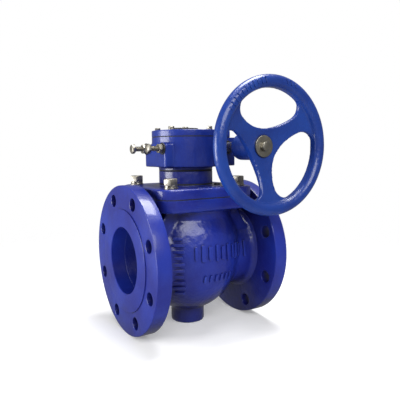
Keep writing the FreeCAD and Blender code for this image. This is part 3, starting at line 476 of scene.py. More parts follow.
def flange(name, start, direction):
    """End flange with its raised face."""
    face_radius, face_height = RAISED_FACE
    rim = arc(FLANGE_RADIUS - FLANGE_EDGE, face_height + FLANGE_EDGE, FLANGE_EDGE, -90, 0)
    back = arc(FLANGE_RADIUS - FLANGE_EDGE, FLANGE_THICKNESS - FLANGE_EDGE, FLANGE_EDGE, 0, 90)
    lip = arc(face_radius - FACE_EDGE, FACE_EDGE, FACE_EDGE, -90, 0)
    outline = [(0, 0)] + lip + [(face_radius, face_height)] + rim + back + [(0, FLANGE_THICKNESS)]
    return turned(name, outline, start, direction, 192)


def drill(radius, start, end, place, direction, lip=0.7 * MM, steps=40):
    """Cutter for a hole whose two mouths are softened."""
    mouth = arc(radius + lip, start + lip, lip, -90, -180, 3)
    tail = arc(radius + lip, end - lip, lip, 180, 90, 3)
    outline = [(0, start - THROUGH), (radius + lip, start - THROUGH)] + mouth + tail
    outline += [(radius + lip, end + THROUGH), (0, end + THROUGH)]
    return turned("drill", outline, place, direction, steps)


joined(body, flange("inlet_flange", (0, 0, 0), ALONG),
       flange("outlet_flange", (FACE_TO_FACE, 0, 0), -ALONG))
MILLED, MILLED_EDGE = SQUARE_HALF + 5 * MM, 5 * MM
flat_top = slab("flat_top", MILLED, MILLED, MILLED_EDGE, BODY_TOP, BODY_TOP + 50 * MM, 0, STEM)
flat_foot = slab("flat_foot", 50 * MM, 50 * MM, 10 * MM, FLOOR_Z - 50 * MM, FLOOR_Z, 0, STEM)
bolt_drills = []
for back, drilled in ((0, (RAISED_FACE[1], FLANGE_THICKNESS)),
                      (FACE_TO_FACE - FLANGE_THICKNESS, (0, FLANGE_THICKNESS - RAISED_FACE[1]))):
    for i in range(BOLT_COUNT):
        a = 2 * math.pi * (i + 0.5) / BOLT_COUNT
        place = (back, BOLT_CIRCLE * math.cos(a), BOLT_CIRCLE * math.sin(a))
        bolt_drills.append(drill(BOLT_HOLE, *drilled, place, ALONG))
cut(body, flat_top, flat_foot, *bolt_drills)
print("body with flanges:", len(body.data.polygons), "faces")

# %% [markdown]
# Inside, the flow way is round at the flanges and narrows to a tall slot at the chamber. The
# chamber bulges a little, as the plug sweeps round in it.

# %% Body: flow way and chamber
PORT_RADIUS, PORT_EDGE, PORT_DEPTH = 50.8 * MM, 1 * MM, 30 * MM
PORT_TAPER = [(47 * MM, 40 * MM), (44 * MM, 52 * MM), (0, 52 * MM)]
THROAT_HALF_HEIGHT, THROAT_HALF_WIDTH, THROAT_CORNER = 45 * MM, 31 * MM, 6 * MM
THROAT_FROM, THROAT_TO = 40 * MM, 90 * MM
CHAMBER_RADIUS, CHAMBER_BELLY, CHAMBER_TOP = 64.5 * MM, 72 * MM, 56 * MM
CHAMBER_FLOOR = [(0, -62 * MM), (36 * MM, -62 * MM), (CHAMBER_RADIUS, -50.5 * MM)]


def flow_way(end):
    """Half of the flow way, from outside one flange to inside the chamber."""
    wide = PORT_RADIUS + PORT_EDGE
    mouth = [(0, -THROUGH), (wide, -THROUGH), (wide, 0), (PORT_RADIUS, PORT_EDGE)]
    round_part = turned("port", mouth + [(PORT_RADIUS, PORT_DEPTH)] + PORT_TAPER, (0, 0, 0), ALONG)
    throat = slab("throat", THROAT_HALF_HEIGHT, THROAT_HALF_WIDTH, THROAT_CORNER,
                  THROAT_FROM, THROAT_TO, 0, (0, 0, 0), ALONG)
    cutter = joined(round_part, throat)
    if end > 0:
        mirror = Matrix.Diagonal((-1, 1, 1, 1))
        cutter.data.transform(Matrix.Translation((FACE_TO_FACE, 0, 0)) @ mirror)
        cutter.data.flip_normals()
    return cutter


def chamber():
    """Space that the plug turns in."""
    wall = list(CHAMBER_FLOOR)
    for i in range(9):
        z = (-32 + 88 * i / 8) * MM
        share = (z - BELLY_Z) / (CHAMBER_TOP - BELLY_Z)
        wall.append((CHAMBER_BELLY - (CHAMBER_BELLY - CHAMBER_RADIUS) * share ** 2, z))
    above = BODY_TOP + 5 * MM
    return turned("chamber", wall + [(CHAMBER_RADIUS, above), (0, above)], STEM)


BONNET_BOLT_OFFSET = 60 * MM
bonnet_corners = [STEM + Vector((sx, sy, 0)) * BONNET_BOLT_OFFSET for sx in (-1, 1) for sy in (-1, 1)]
trunnion_bore = turned("trunnion_bore", disc_outline(18.05 * MM, -98 * MM, -55 * MM, 0.5 * MM), STEM)
tap_outline = disc_outline(6.05 * MM, BODY_TOP - 16.5 * MM, BODY_TOP + 5 * MM, 0.3 * MM)
tapped = [turned("tapped", tap_outline, corner, UP, 32) for corner in bonnet_corners]
seat_size = (high("seat_ring") - low("seat_ring")) / 2
seat_pocket = slab("seat_pocket", seat_size.z, seat_size.y, 5 * MM, -20 * MM, seat_size.x, 0,
                   middle("seat_ring"), ALONG)
cut(body, flow_way(-1), flow_way(1))
cut(body, chamber(), trunnion_bore, seat_pocket, *tapped)
smooth(body)
print("body finished:", len(body.data.polygons), "faces")

# %% [markdown]
# ## The bonnet
# The bonnet is a cast cover plate with a soft upper rim and a shallow round pad where the neck
# stands. A row of small raised bars runs along the front of its top, where a foundry puts its signs.

# %% Bonnet
BONNET_BOTTOM = low("bonnet").z
PLATE_TOP = low("bonnet_flat_washers").z
PAD_TOP = low("lower_neck_seal").z
NECK_OUTER = (high("adapter_neck").x - low("adapter_neck").x) / 2
PLATE_BOTTOM = high("bonnet_gasket").z
BOLT_CLEARANCE = 6.75 * MM

square = rounded_outline(SQUARE_HALF, SQUARE_HALF, SQUARE_CORNER, 16)
bonnet = pushed("bonnet_plate", square,
                soft_levels(PLATE_BOTTOM, PLATE_TOP, 0.5 * MM, 3 * MM, 6), STEM)
pad_radius = NECK_OUTER + 1.5 * MM
pad_outline = [(0, PLATE_TOP - 4 * MM), (pad_radius, PLATE_TOP - 4 * MM),
               (pad_radius, PLATE_TOP - 0.01 * MM)]
pad_outline += arc(pad_radius, PAD_TOP + 0.03 * MM, PAD_TOP - PLATE_TOP, -90, -180, 6)[1:-1]
pad_outline += [(NECK_OUTER, PAD_TOP), (0, PAD_TOP)]
spigot = [(0, BONNET_BOTTOM), (31.5 * MM, BONNET_BOTTOM), (32 * MM, BONNET_BOTTOM + 0.5 * MM),
          (32 * MM, 86 * MM), (63.7 * MM, 86 * MM), (64.2 * MM, 86.5 * MM),
          (64.2 * MM, PLATE_BOTTOM + 3 * MM), (0, PLATE_BOTTOM + 3 * MM)]
joined(bonnet, turned("pad", pad_outline, STEM), turned("spigot", spigot, STEM))
bars = []
for i in range(11):
    wide = (2.2 if i % 3 else 4.5) * MM
    place = STEM + Vector(((-20 + 7.2 * i) * MM, -SQUARE_HALF + 8.5 * MM, PLATE_TOP))
    bars.append(slab("bar", wide / 2, 3.25 * MM, 0.8 * MM, -2 * MM, 1 * MM, 0.5 * MM, place))
joined(bonnet, *bars)
stem_hole = turned("stem_hole", [(0, 50 * MM), (20 * MM, 50 * MM), (20 * MM, 92 * MM),
                                 (22 * MM, 92 * MM), (22 * MM, 130 * MM), (0, 130 * MM)], STEM)
plug_place = Vector((middle("bonnet_pipe_plug").x, middle("bonnet_pipe_plug").y, 0))
small_holes = [drill(BOLT_CLEARANCE, PLATE_BOTTOM, PLATE_TOP, corner, UP, 0.4 * MM)
               for corner in bonnet_corners]
small_holes.append(drill(5 * MM, PLATE_TOP - 9 * MM, PLATE_TOP, plug_place, UP, 0.5 * MM))
cut(bonnet, stem_hole, *small_holes)
smooth(bonnet, 28)
print("bonnet:", len(bonnet.data.polygons), "faces")

# %% [markdown]
# ## Seals and gaskets
# The thin black lines between the castings are flat gaskets and two thicker ring seals. Squeezed
# rubber bulges, so the rings have a full round outer edge.

# %% Seals and gaskets
SEAL_INNER = 26.5 * MM
seals = {}
for part in ("lower_neck_seal", "upper_neck_seal"):
    base, top = low(part).z, high(part).z
    bulge = (top - base) / 2
    outline = [(SEAL_INNER, base), (SEAL_INNER, top), (NECK_OUTER - bulge, top)]
    outline += arc(NECK_OUTER - bulge, (base + top) / 2, bulge, 90, -90, 8)[1:]
    seals[part] = smooth(turned(part + "_ring", outline, STEM, UP, 128))
sheet_half = SQUARE_HALF - 0.2 * MM
gasket = pushed("bonnet_gasket_sheet", rounded_outline(sheet_half, sheet_half, SQUARE_CORNER),
                soft_levels(BODY_TOP, PLATE_BOTTOM, 0.3 * MM, 0.3 * MM, 2), STEM)
cut(gasket, *[hole(BOLT_CLEARANCE, BODY_TOP, PLATE_BOTTOM, corner) for corner in bonnet_corners],
    hole(CHAMBER_RADIUS, BODY_TOP, PLATE_BOTTOM, STEM, steps=96))
seals["bonnet_gasket"] = smooth(gasket)
print("seals:", list(seals))

# %% [markdown]
# ## Adapter neck
# The neck is a plain turned tube.

# %% Adapter neck
NECK_LOW, NECK_HIGH = low("adapter_neck").z, high("adapter_neck").z
NECK_EDGE, NECK_SCREW_RADIUS, NECK_SCREW_CLEARANCE = 0.6 * MM, 34 * MM, 4.3 * MM


def round_about(centre, radius, degrees):
    """Point at a bearing round an upright axis."""
    a = math.radians(degrees)
    return centre + radius * Vector((math.cos(a), math.sin(a), 0))


tube = [(20 * MM, NECK_HIGH), (20 * MM, NECK_LOW + 3 * MM), (SEAL_INNER, NECK_LOW + 3 * MM),
        (SEAL_INNER, NECK_LOW)]
tube += arc(NECK_OUTER - NECK_EDGE, NECK_LOW + NECK_EDGE, NECK_EDGE, -90, 0)
tube += arc(NECK_OUTER - NECK_EDGE, NECK_HIGH - NECK_EDGE, NECK_EDGE, 0, 90)
neck = turned("neck_tube", tube, STEM, UP, 128)
screw_bores = [hole(NECK_SCREW_CLEARANCE, NECK_LOW, NECK_HIGH,
                    round_about(STEM, NECK_SCREW_RADIUS, 45 + 90 * i)) for i in range(4)]
smooth(cut(neck, *screw_bores))
print("neck:", len(neck.data.polygons), "faces")

# %% [markdown]
# ## Gearbox
# The housing is one casting: a round gear drum, a square block on the left that carries the stop
# screws, a block on the right round the worm, and a round foot. It is cast with the same foundry
# tool on a finer grid, then machined flat on top and bored. The cover is a turned disc with a lug
# that reaches over the worm block, so disc and lug are one plate with a soft upper rim.

# %% Gearbox housing
HOUSING_LOW, HOUSING_HIGH = low("gearbox_housing"), high("gearbox_housing")
DRUM_BOTTOM, HOUSING_TOP = HOUSING_LOW.z + 4.5 * MM, low("cover_gasket").z
DRUM_RADIUS, DRUM_SHIFT = 58 * MM, Vector((4.5 * MM, 0, 0))
DRUM = STEM + DRUM_SHIFT
STOP_FACE = HOUSING_LOW.x
STOP_HALF, STOP_HEIGHT = 35 * MM, 35.5 * MM
WORM_HALF = 29 * MM


def block(name, start, end):
    """Plain block between two corners."""
    centre, half = (start + end) / 2, (end - start) / 2
    return slab(name, half.x, half.y, 1 * MM, start.z, end.z, 0.6 * MM, (centre.x, centre.y, 0))


housing_solids = [
    turned("drum", plain_disc(DRUM_RADIUS, DRUM_BOTTOM, HOUSING_TOP + TO_CUT), DRUM, UP, 160),
    turned("foot_ring", plain_disc(NECK_OUTER, HOUSING_LOW.z - 3 * MM, DRUM_BOTTOM + 5 * MM), STEM,
           UP, 128),
    block("stop_block", Vector((STOP_FACE, STEM.y - STOP_HALF, DRUM_BOTTOM)),
          Vector((STEM.x, STEM.y + STOP_HALF, DRUM_BOTTOM + STOP_HEIGHT))),
    block("worm_block", Vector((STEM.x + 30 * MM, STEM.y - WORM_HALF, DRUM_BOTTOM)),
          Vector((HOUSING_HIGH.x, STEM.y + WORM_HALF, HOUSING_TOP + TO_CUT))),
]
housing = cast("gearbox_casting", housing_solids, voxel=1.15 * MM, rounds=5, waves=0.08 * MM,
               wave_length=18 * MM)
far_below = slab("below", 0.1, 0.1, 10 * MM, HOUSING_LOW.z - 20 * MM, HOUSING_LOW.z, 0, STEM)
far_above = slab("above", 0.15, 0.15, 10 * MM, HOUSING_TOP, HOUSING_TOP + 30 * MM, 0, STEM)
cavity = turned("cavity", plain_disc(54.6 * MM, DRUM_BOTTOM + 7 * MM, HOUSING_TOP + 20 * MM), DRUM)
stem_bore = turned("stem_bore",
                   plain_disc(24 * MM, HOUSING_LOW.z - THROUGH, DRUM_BOTTOM + 9 * MM), STEM)


def worm_cutter(name, radius, start, end):
    """Plain cutter on the worm's axis, between two distances along Y."""
    return turned(name, plain_disc(radius, start, end), WORM, BACKWARD, 64)


worm_back = STEM.y + WORM_HALF
front_bore = worm_cutter("front_bore", 11 * MM, -60 * MM, 0)
worm_bore = worm_cutter("worm_bore", 14 * MM, -13.2 * MM, 60 * MM)
spot_face = worm_cutter("spot_face", 16.3 * MM, worm_back, worm_back + 40 * MM)
cut(housing, far_below, far_above)
cut(housing, cavity, stem_bore)
cut(housing, front_bore, worm_bore, spot_face)
smooth(housing)
print("housing:", len(housing.data.polygons), "faces")

# %% Gearbox cover and gasket
COVER_BOTTOM = high("cover_gasket").z
COVER_TOP = low("cover_washers").z
LUG_REACH = high("gearbox_cover").x - STEM.x
LUG_HALF, LUG_CORNER = 25 * MM, 2 * MM
SCREW_BEARINGS, SCREW_CIRCLE = (66, 138, 210, 282), 50 * MM
LUG_SCREW = Vector((65 * MM, -20.5 * MM, 0))


def cover_outline(shrink=0.0, steps=72):
    """Outline of the round cover with its lug, about the drum's centre."""
    radius, half = DRUM_RADIUS - shrink, LUG_HALF - shrink
    reach = LUG_REACH - DRUM_SHIFT.x - shrink
    meet = math.asin(half / radius)
    points = []
    for sy, start in ((-1, -90), (1, 0)):
        points += arc(reach - LUG_CORNER, sy * (half - LUG_CORNER), LUG_CORNER, start, start + 90)
    for i in range(steps + 1):
        a = meet + (2 * math.pi - 2 * meet) * i / steps
        points.append((radius * math.cos(a), radius * math.sin(a)))
    return points


cover = pushed("cover_plate", cover_outline(),
               soft_levels(COVER_BOTTOM, COVER_TOP, 0.4 * MM, 1.4 * MM, 6), DRUM)
cover_sheet = pushed("cover_gasket_sheet", cover_outline(0.25 * MM),
                     soft_levels(HOUSING_TOP, COVER_BOTTOM, 0.3 * MM, 0.3 * MM, 2), DRUM)
cut(cover_sheet, hole(41.6 * MM, HOUSING_TOP, COVER_BOTTOM, DRUM, steps=96))
seals["cover_gasket"] = smooth(cover_sheet)

cover_screw_places = [round_about(DRUM, SCREW_CIRCLE, a) for a in SCREW_BEARINGS] + [STEM + LUG_SCREW]
SEAL_SEAT = COVER_BOTTOM + 3.5 * MM
journal_hole = turned("hole", [(0, COVER_BOTTOM - THROUGH), (21.5 * MM, COVER_BOTTOM - THROUGH),
                               (21.5 * MM, SEAL_SEAT), (18.05 * MM, SEAL_SEAT),
                               (18.05 * MM, COVER_TOP + THROUGH), (0, COVER_TOP + THROUGH)], STEM)
cut(cover, journal_hole, *[hole(3.3 * MM, COVER_BOTTOM, COVER_TOP, place, steps=24)
                           for place in cover_screw_places])
ticks = [slab("tick", half_x * MM, half_y * MM, 0.9 * MM, -2 * MM, 0.9 * MM, 0.4 * MM,
              STEM + Vector((x * MM, y * MM, COVER_TOP)))
         for x, y, half_x, half_y in ((-30, 0, 4, 1.2), (0, -30, 1.2, 4))]
joined(cover, *ticks)
smooth(cover, 28)
print("cover:", len(cover.data.polygons), "faces")

# %% [markdown]
# ## Bolts, nuts and washers
# A hexagon head is a six-sided prism whose outer corners are turned off at thirty degrees. That is
# exactly what a lathe does to real hexagon bar, so the prism is intersected with a blunt cone. A
# very small bevel then gives every edge the thin bright line that makes steel look like steel.

# %% Hexagon heads and nuts
BLUNT_SHARE, CHAMFER = 0.475, math.radians(30)


def edge_line(piece, width=0.22 * MM):
    """Thin bevel along the sharp edges of a small steel piece."""
    step = piece.modifiers.new("edge", "BEVEL")
    step.width = width
    step.segments = 2
    step.limit_method = "ANGLE"
    step.angle_limit = math.radians(35)
    return smooth(finished(piece), 40)


def hexagon(name, across_flats, start, end, place, direction, twist=0.0, both=False):
    """Hexagon with its corners turned off at the far end, or at both ends."""
    corner = across_flats / math.sqrt(3)
    points = arc(0, 0, corner, 0, 300, 5)
    head = pushed(name, points, [(start, 0), (end, 0)], place, direction, twist)
    reach, blunt = corner * 1.2, across_flats * BLUNT_SHARE
    drop = (reach - blunt) * math.tan(CHAMFER)
    foot = [(0, start - 1 * MM), (reach, start - 1 * MM)]
    if both:
        foot = [(0, start), (blunt, start), (reach, start + drop)]
    outline = foot + [(reach, end - drop), (blunt, end), (0, end)]
    blank = turned("blank", outline, place, direction, 64)
    return combined(head, "INTERSECT", [blank])


def together(name, parts):
    """Several separate solids as one piece."""
    maker = bmesh.new()
    for part in parts:
        maker.from_mesh(part.data)
        bpy.data.objects.remove(part)
    return piece_from(name, maker)


def ring(name, inner, outer, start, end, place, direction=UP, edge=0.3 * MM, steps=64):
    """Washer with rounded rims."""
    return turned(name, ring_outline(inner, outer, start, end, edge), place, direction, steps)


HEAD_BOTTOM, HEAD_TOP = high("bonnet_spring_washers").z, high("bonnet_bolts").z
FLAT_TOP = high("bonnet_flat_washers").z
TWISTS = [math.radians(a) for a in (0, 3, -5, 8)]
bolts, flats, springs = [], [], []
for corner, twist in zip(bonnet_corners, TWISTS):
    head = hexagon("head", 19 * MM, HEAD_BOTTOM, HEAD_TOP, corner, UP, twist)
    shank_outline = disc_outline(6 * MM, low("bonnet_bolts").z, HEAD_BOTTOM + 2 * MM, 0.8 * MM)
    bolts.append(edge_line(joined(head, turned("shank", shank_outline, corner, UP, 48))))
    flats.append(ring("flat", 6.3 * MM, 10.4 * MM, PLATE_TOP, FLAT_TOP, corner))
    coil = ring("coil", 6.3 * MM, 9.7 * MM, FLAT_TOP, HEAD_BOTTOM, corner, UP, 0.25 * MM)
    split = slab("split", 5 * MM, 0.8 * MM, 0.2 * MM, FLAT_TOP - 1 * MM, HEAD_BOTTOM + 1 * MM, 0,
                 corner + Matrix.Rotation(twist - 2.3, 3, "Z") @ Vector((9 * MM, 0, 0)))
    springs.append(cut(coil, split))
hardware = {"bonnet_bolts": together("bonnet_bolt_set", bolts),
            "bonnet_flat_washers": together("bonnet_flat_washer_set", flats),
            "bonnet_spring_washers": together("bonnet_spring_washer_set", springs)}
print("bonnet bolts:", len(hardware["bonnet_bolts"].data.polygons), "faces")

# %% Cover screws
SCREW_HEAD_BOTTOM, SCREW_HEAD_TOP = high("cover_washers").z, high("cover_screws").z
screws, washers = [], []
for i, place in enumerate(cover_screw_places):
    head = hexagon("head", 8 * MM, SCREW_HEAD_BOTTOM, SCREW_HEAD_TOP, place, UP, math.radians(17 * i))
    shank_outline = disc_outline(3 * MM, low("cover_screws").z, SCREW_HEAD_BOTTOM + 1 * MM, 0.4 * MM)
    screws.append(edge_line(joined(head, turned("shank", shank_outline, place, UP, 32)), 0.15 * MM))
    washers.append(ring("washer", 3.3 * MM, 4.7 * MM, COVER_TOP, SCREW_HEAD_BOTTOM, place, UP,
                        0.2 * MM, 48))
hardware["cover_screws"] = together("cover_screw_set", screws)
hardware["cover_washers"] = together("cover_washer_set", washers)
print("cover screws:", len(screws))

# %% [markdown]
# The two stop screws are threaded along their whole length, and their threads show. A thread is a
# surface whose radius rises and falls once per pitch while the start of the wave turns with the
# angle. Sampling that formula on a fine grid of rings gives a true screw thread, not stacked rings.


# %% Stop screws
THREAD_DEPTH_SHARE, ROWS_A_PITCH = 0.61, 6


def threaded_rod(name, radius, pitch, start, end, place, direction, around=28):
    """Rod with a true 60 degree thread; its ends are chamfered."""
    depth = THREAD_DEPTH_SHARE * pitch
    rows = int((end - start) / pitch * ROWS_A_PITCH)
    rod = bmesh.new()
    rings = []
    for i in range(rows + 1):
        along = start + (end - start) * i / rows
        taper = min(along - start, end - along)
        ring_points = []
        for j in range(around):
            turn = j / around
            wave = abs(((along / pitch - turn) % 1) * 2 - 1)
            r = radius - depth * wave
            r = min(r, radius - depth + taper)
            a = 2 * math.pi * turn
            ring_points.append(rod.verts.new((r * math.cos(a), r * math.sin(a), along)))
        rings.append(ring_points)
    return stood(skinned(name, rod, rings), place, direction)


stop_low, stop_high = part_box("stop_screws")
STOP_HEAD = 5.3 * MM
STOP_RADIUS = 4 * MM
STOP_OFFSET = 28 * MM
stop_places = [Vector((0, STEM.y + side * STOP_OFFSET, middle("stop_screws").z)) for side in (-1, 1)]
rods, nuts, pads = [], [], []
for place, twist in zip(stop_places, (0.25, -0.1)):
    rod = threaded_rod("rod", STOP_RADIUS, 1.25 * MM, stop_low.x + STOP_HEAD - 1 * MM, stop_high.x,
                       place, ALONG)
    head = hexagon("head", 13 * MM, -stop_low.x - STOP_HEAD, -stop_low.x, place, -ALONG, twist)
    rods += [edge_line(head), smooth(rod, 50)]
    nut_low, nut_high = low("stop_lock_nuts").x, high("stop_lock_nuts").x
    nut = hexagon("nut", 13 * MM, nut_low, nut_high, place, ALONG, twist + 0.4, True)
    nuts.append(edge_line(cut(nut, hole(STOP_RADIUS + 0.03 * MM, nut_low, nut_high, place, ALONG, 48))))
    pads.append(ring("pad", STOP_RADIUS + 0.05 * MM, 9 * MM, low("stop_washers").x,
                     high("stop_washers").x, place, ALONG, 0.7 * MM))
hardware["stop_screws"] = together("stop_screw_set", rods)
hardware["stop_lock_nuts"] = together("stop_nut_set", nuts)
seals["stop_washers"] = smooth(together("stop_washer_set", pads))
print("stop screws:", len(hardware["stop_screws"].data.polygons), "faces")

# %% [markdown]
# ## Handwheel
# The handwheel is one casting: a round rim, a dished web with three egg-shaped openings that leave
# three broad spokes, and a long hub that tapers towards the gearbox. Each opening is two arcs that
# meet in wide round corners. The web is spun, the openings are cut, and the foundry tool melts web,
# rim and hub into one skin with soft edges.

# %% Handwheel: openings
wheel_low, wheel_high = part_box("handwheel")
WHEEL_RADIUS = (wheel_high.x - wheel_low.x) / 2
TUBE = 9 * MM
RIM_RADIUS = WHEEL_RADIUS - TUBE
RIM_Y = wheel_low.y + TUBE
WEB_Y = high("handwheel_washer").y
HUB_RADIUS, HUB_BACK, NOSE_RADIUS = 20.3 * MM, -65 * MM, 10.5 * MM
SPOKES = 3
OPENING_CORNER, OPENING_INNER, OPENING_SHIFT = 16 * MM, 79 * MM, 105 * MM
WEB_START, WEB_CROWN = 14 * MM, 2.2 * MM
WHEEL = Vector((WORM.x, WEB_Y, WORM.z))


def opening_outline():
    """Two crossing arcs whose corners are rounded, pointing away from the hub."""
    outer = RIM_RADIUS - TUBE
    corner, inner, shift = OPENING_CORNER, OPENING_INNER, OPENING_SHIFT
    a, b = outer - corner, inner - corner
    y = (a * a - b * b + shift * shift) / (2 * shift)
    x = math.sqrt(a * a - y * y)
    at_outer = math.degrees(math.atan2(y, x))
    at_inner = math.degrees(math.atan2(y - shift, x))
    points = arc(0, 0, outer, at_outer, 180 - at_outer, 20)
    points += arc(-x, y, corner, 180 - at_outer, 180 - at_inner, 14)[1:]
    points += arc(0, shift, inner, 180 - at_inner, 360 + at_inner, 24)[1:]
    points += arc(x, y, corner, at_inner, at_outer, 14)[1:-1]
    return points


def wheel_opening(index):
    """Cutter for one opening, turned to its place round the wheel."""
    cutter = pushed("opening", opening_outline(), [(-0.05, 0), (0.05, 0)])
    stand = Matrix(((1, 0, 0, 0), (0, 0, -1, 0), (0, 1, 0, 0), (0, 0, 0, 1)))
    spin = Matrix.Rotation(2 * math.pi / SPOKES * index, 4, "Y")
    cutter.data.transform(Matrix.Translation(WHEEL) @ spin @ stand)
    return cutter


print("handwheel radius:", round(WHEEL_RADIUS, 4), "openings:", SPOKES)


# %% Handwheel: casting
def web_outline(steps=14):
    """Dished web: front and back of the spokes as one closed outline."""
    dish = WEB_Y - RIM_Y
    front, back = [], []
    for i in range(steps + 1):
        share = i / steps
        radius = WEB_START + (RIM_RADIUS - WEB_START) * share
        rise = dish * share ** 1.3
        thick = (13 - 5.5 * min(share * 1.6, 1)) * MM
        front.append((radius, rise + WEB_CROWN * share))
        back.append((radius, rise + WEB_CROWN * share - thick))
    return front + back[::-1]


web = turned("web", web_outline(), WHEEL, -BACKWARD, 128)
cut(web, *[wheel_opening(i) for i in range(SPOKES)])
rim_outline = arc(RIM_RADIUS, 0, TUBE + 0.15 * MM, 0, 360, 32)[:-1]
rim = turned("rim", rim_outline, (WORM.x, RIM_Y, WORM.z), -BACKWARD, 192)
hub_points = [(0, WEB_Y), (HUB_RADIUS, WEB_Y), (HUB_RADIUS, HUB_BACK), (NOSE_RADIUS, wheel_high.y),
              (0, wheel_high.y)]
hub = turned("hub", hub_points, WORM, BACKWARD, 96)
wheel = cast("handwheel_casting", [web, rim, hub], voxel=1.25 * MM, rounds=6, waves=0.1 * MM,
             wave_length=20 * MM)
face_cut = turned("face_cut", plain_disc(16.4 * MM, -30 * MM, 0), WHEEL, BACKWARD, 64)
shaft_bore = worm_cutter("shaft_bore", 8.03 * MM, WEB_Y - THROUGH, 0)
nose_cut = worm_cutter("nose_cut", 16 * MM, wheel_high.y - 0.2 * MM, wheel_high.y + THROUGH)
print("handwheel:", len(wheel.data.polygons), "faces")

# %% [markdown]
# A row of raised bars and a turning arrow stand on the upper left of the rim, where a wheel carries
# its signs. They are placed by the same ray tool as the marks on the belly.

# %% Handwheel: raised marks
rim_tree = skin_tree(wheel)


def rim_mark(angle, width, length, tilt=0.0, shift=0.0):
    """Mark on the front of the rim at an angle round the wheel."""
    a = math.radians(angle)
    radial = Vector((math.cos(a), 0, math.sin(a)))
    start = Vector((WORM.x, wheel_low.y - 50 * MM, WORM.z)) + radial * (RIM_RADIUS + shift)
    return mark_on(rim_tree, start, BACKWARD, width, length, radial, tilt, 0.9 * MM)


rim_marks = [rim_mark(148 - 4.6 * i, 1.9 * MM, (9.5 if i % 4 else 6) * MM, 0, 1.5 * MM)
             for i in range(11)]
rim_marks += [rim_mark(78 - 5 * i, 1.9 * MM, 8 * MM, 0.5, 1.5 * MM) for i in range(3)]
joined(wheel, *rim_marks)
cut(wheel, face_cut, shaft_bore, nose_cut)
smooth(wheel)
print("handwheel with marks:", len(wheel.data.polygons), "faces")

# %% Handwheel washer and bolt
head_y = low("handwheel_washer").y
wheel_washer = smooth(ring("handwheel_washer_disc", 4.3 * MM, 16 * MM, head_y, WEB_Y, WORM,
                           BACKWARD, 0.6 * MM, 96))
wheel_bolt = hexagon("handwheel_bolt_steel", 13 * MM, -head_y, -low("handwheel_bolt").y, WORM,
                     -BACKWARD, math.radians(12))
shank_outline = disc_outline(4 * MM, head_y - 2 * MM, high("handwheel_bolt").y, 0.6 * MM)
edge_line(joined(wheel_bolt, turned("shank", shank_outline, WORM, BACKWARD, 32)))
hardware["handwheel_washer"] = wheel_washer
hardware["handwheel_bolt"] = wheel_bolt
print("handwheel bolt:", len(wheel_bolt.data.polygons), "faces")

# %% [markdown]
# ## Small parts round the gearbox
# A black pointer disc on top shows which way the plug stands, held by a slotted screw. A black lip
# seal closes the bore round the worm shaft, a screwed plug closes it at the back, and a socket plug
# sits in the bonnet.

# %% Pointer, shaft seal and plugs
POINTER_LOW, POINTER_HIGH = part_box("indicator")
disc_top, bar_bottom = POINTER_HIGH.z - 0.8 * MM, POINTER_LOW.z + 1 * MM
pointer = turned("pointer_disc", disc_outline(21 * MM, POINTER_LOW.z, disc_top, 0.7 * MM), STEM)
pointer_bar = slab("bar", 18 * MM, 2.5 * MM, 1 * MM, bar_bottom, POINTER_HIGH.z, 0.4 * MM, STEM)
pointer_tip = pushed("tip", [(-20 * MM, 0), (-11 * MM, -6.5 * MM), (-11 * MM, 6.5 * MM)],
                     [(bar_bottom, 0), (POINTER_HIGH.z, 0)], STEM)
joined(pointer, pointer_bar, pointer_tip)
smooth(cut(pointer, hole(2.8 * MM, POINTER_LOW.z, POINTER_HIGH.z, STEM)))

screw_bottom, screw_top = low("indicator_screw").z, high("indicator_screw").z
pan = [(0, screw_bottom), (2.5 * MM, screw_bottom), (2.5 * MM, POINTER_HIGH.z),
       (5 * MM, POINTER_HIGH.z)]
pan += arc(4.2 * MM, screw_top - 0.8 * MM, 0.8 * MM, 0, 90) + [(0, screw_top)]
pan_screw = turned("pointer_screw", pan, STEM, UP, 48)
cut(pan_screw, slab("slot", 6 * MM, 0.6 * MM, 0.1 * MM, screw_top - 0.8 * MM, screw_top + 1 * MM, 0,
                    STEM))
hardware["indicator_screw"] = smooth(pan_screw)

seal_low, seal_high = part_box("worm_shaft_seal")
lip = [(8.05 * MM, seal_high.y), (8.05 * MM, seal_low.y + 1.5 * MM), (9 * MM, seal_low.y + 0.4 * MM)]
lip += arc(10.4 * MM, seal_low.y + 0.6 * MM, 0.6 * MM, -90, 0) + [(11 * MM, seal_high.y)]
seals["worm_shaft_seal"] = smooth(turned("worm_lip_seal", lip, WORM, BACKWARD, 96))

plug_low, plug_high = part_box("bonnet_pipe_plug")
socket_plug = turned("bonnet_socket_plug", disc_outline(4.97 * MM, plug_low.z, plug_high.z, 0.6 * MM),
                     plug_place, UP, 48)
socket = hexagon("socket", 5 * MM, plug_high.z - 4 * MM, plug_high.z + 2 * MM, plug_place, UP)
smooth(cut(socket_plug, socket))

end_low, end_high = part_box("worm_end_plug")
flange_start = high("worm_end_seal").y
cap_outline = disc_outline(16 * MM, flange_start, end_high.y, 0.7 * MM)
shank_outline = disc_outline(13.97 * MM, end_low.y, flange_start + 1 * MM, 0.5 * MM)
end_plug = joined(turned("worm_end_cap", cap_outline, WORM, BACKWARD),
                  turned("shank", shank_outline, WORM, BACKWARD))
socket = hexagon("socket", 12 * MM, end_high.y - 3.2 * MM, end_high.y + 5 * MM, WORM, BACKWARD)
smooth(cut(end_plug, socket))
print("pointer, seal and plugs made")

# %% [markdown]
# ## Finishes
# Every finish is made of nodes, so it needs no picture and fits any shape. Two small helpers keep
# the node work readable. A Wire is one output of a node, and arithmetic on wires adds Math nodes. A
# Finish is one material, and its node method adds any other node. All patterns are laid out in
# metres in the object's own space, so a grain of a tenth of a millimetre is the same size on every
# part, and it stays where it is when a part turns.


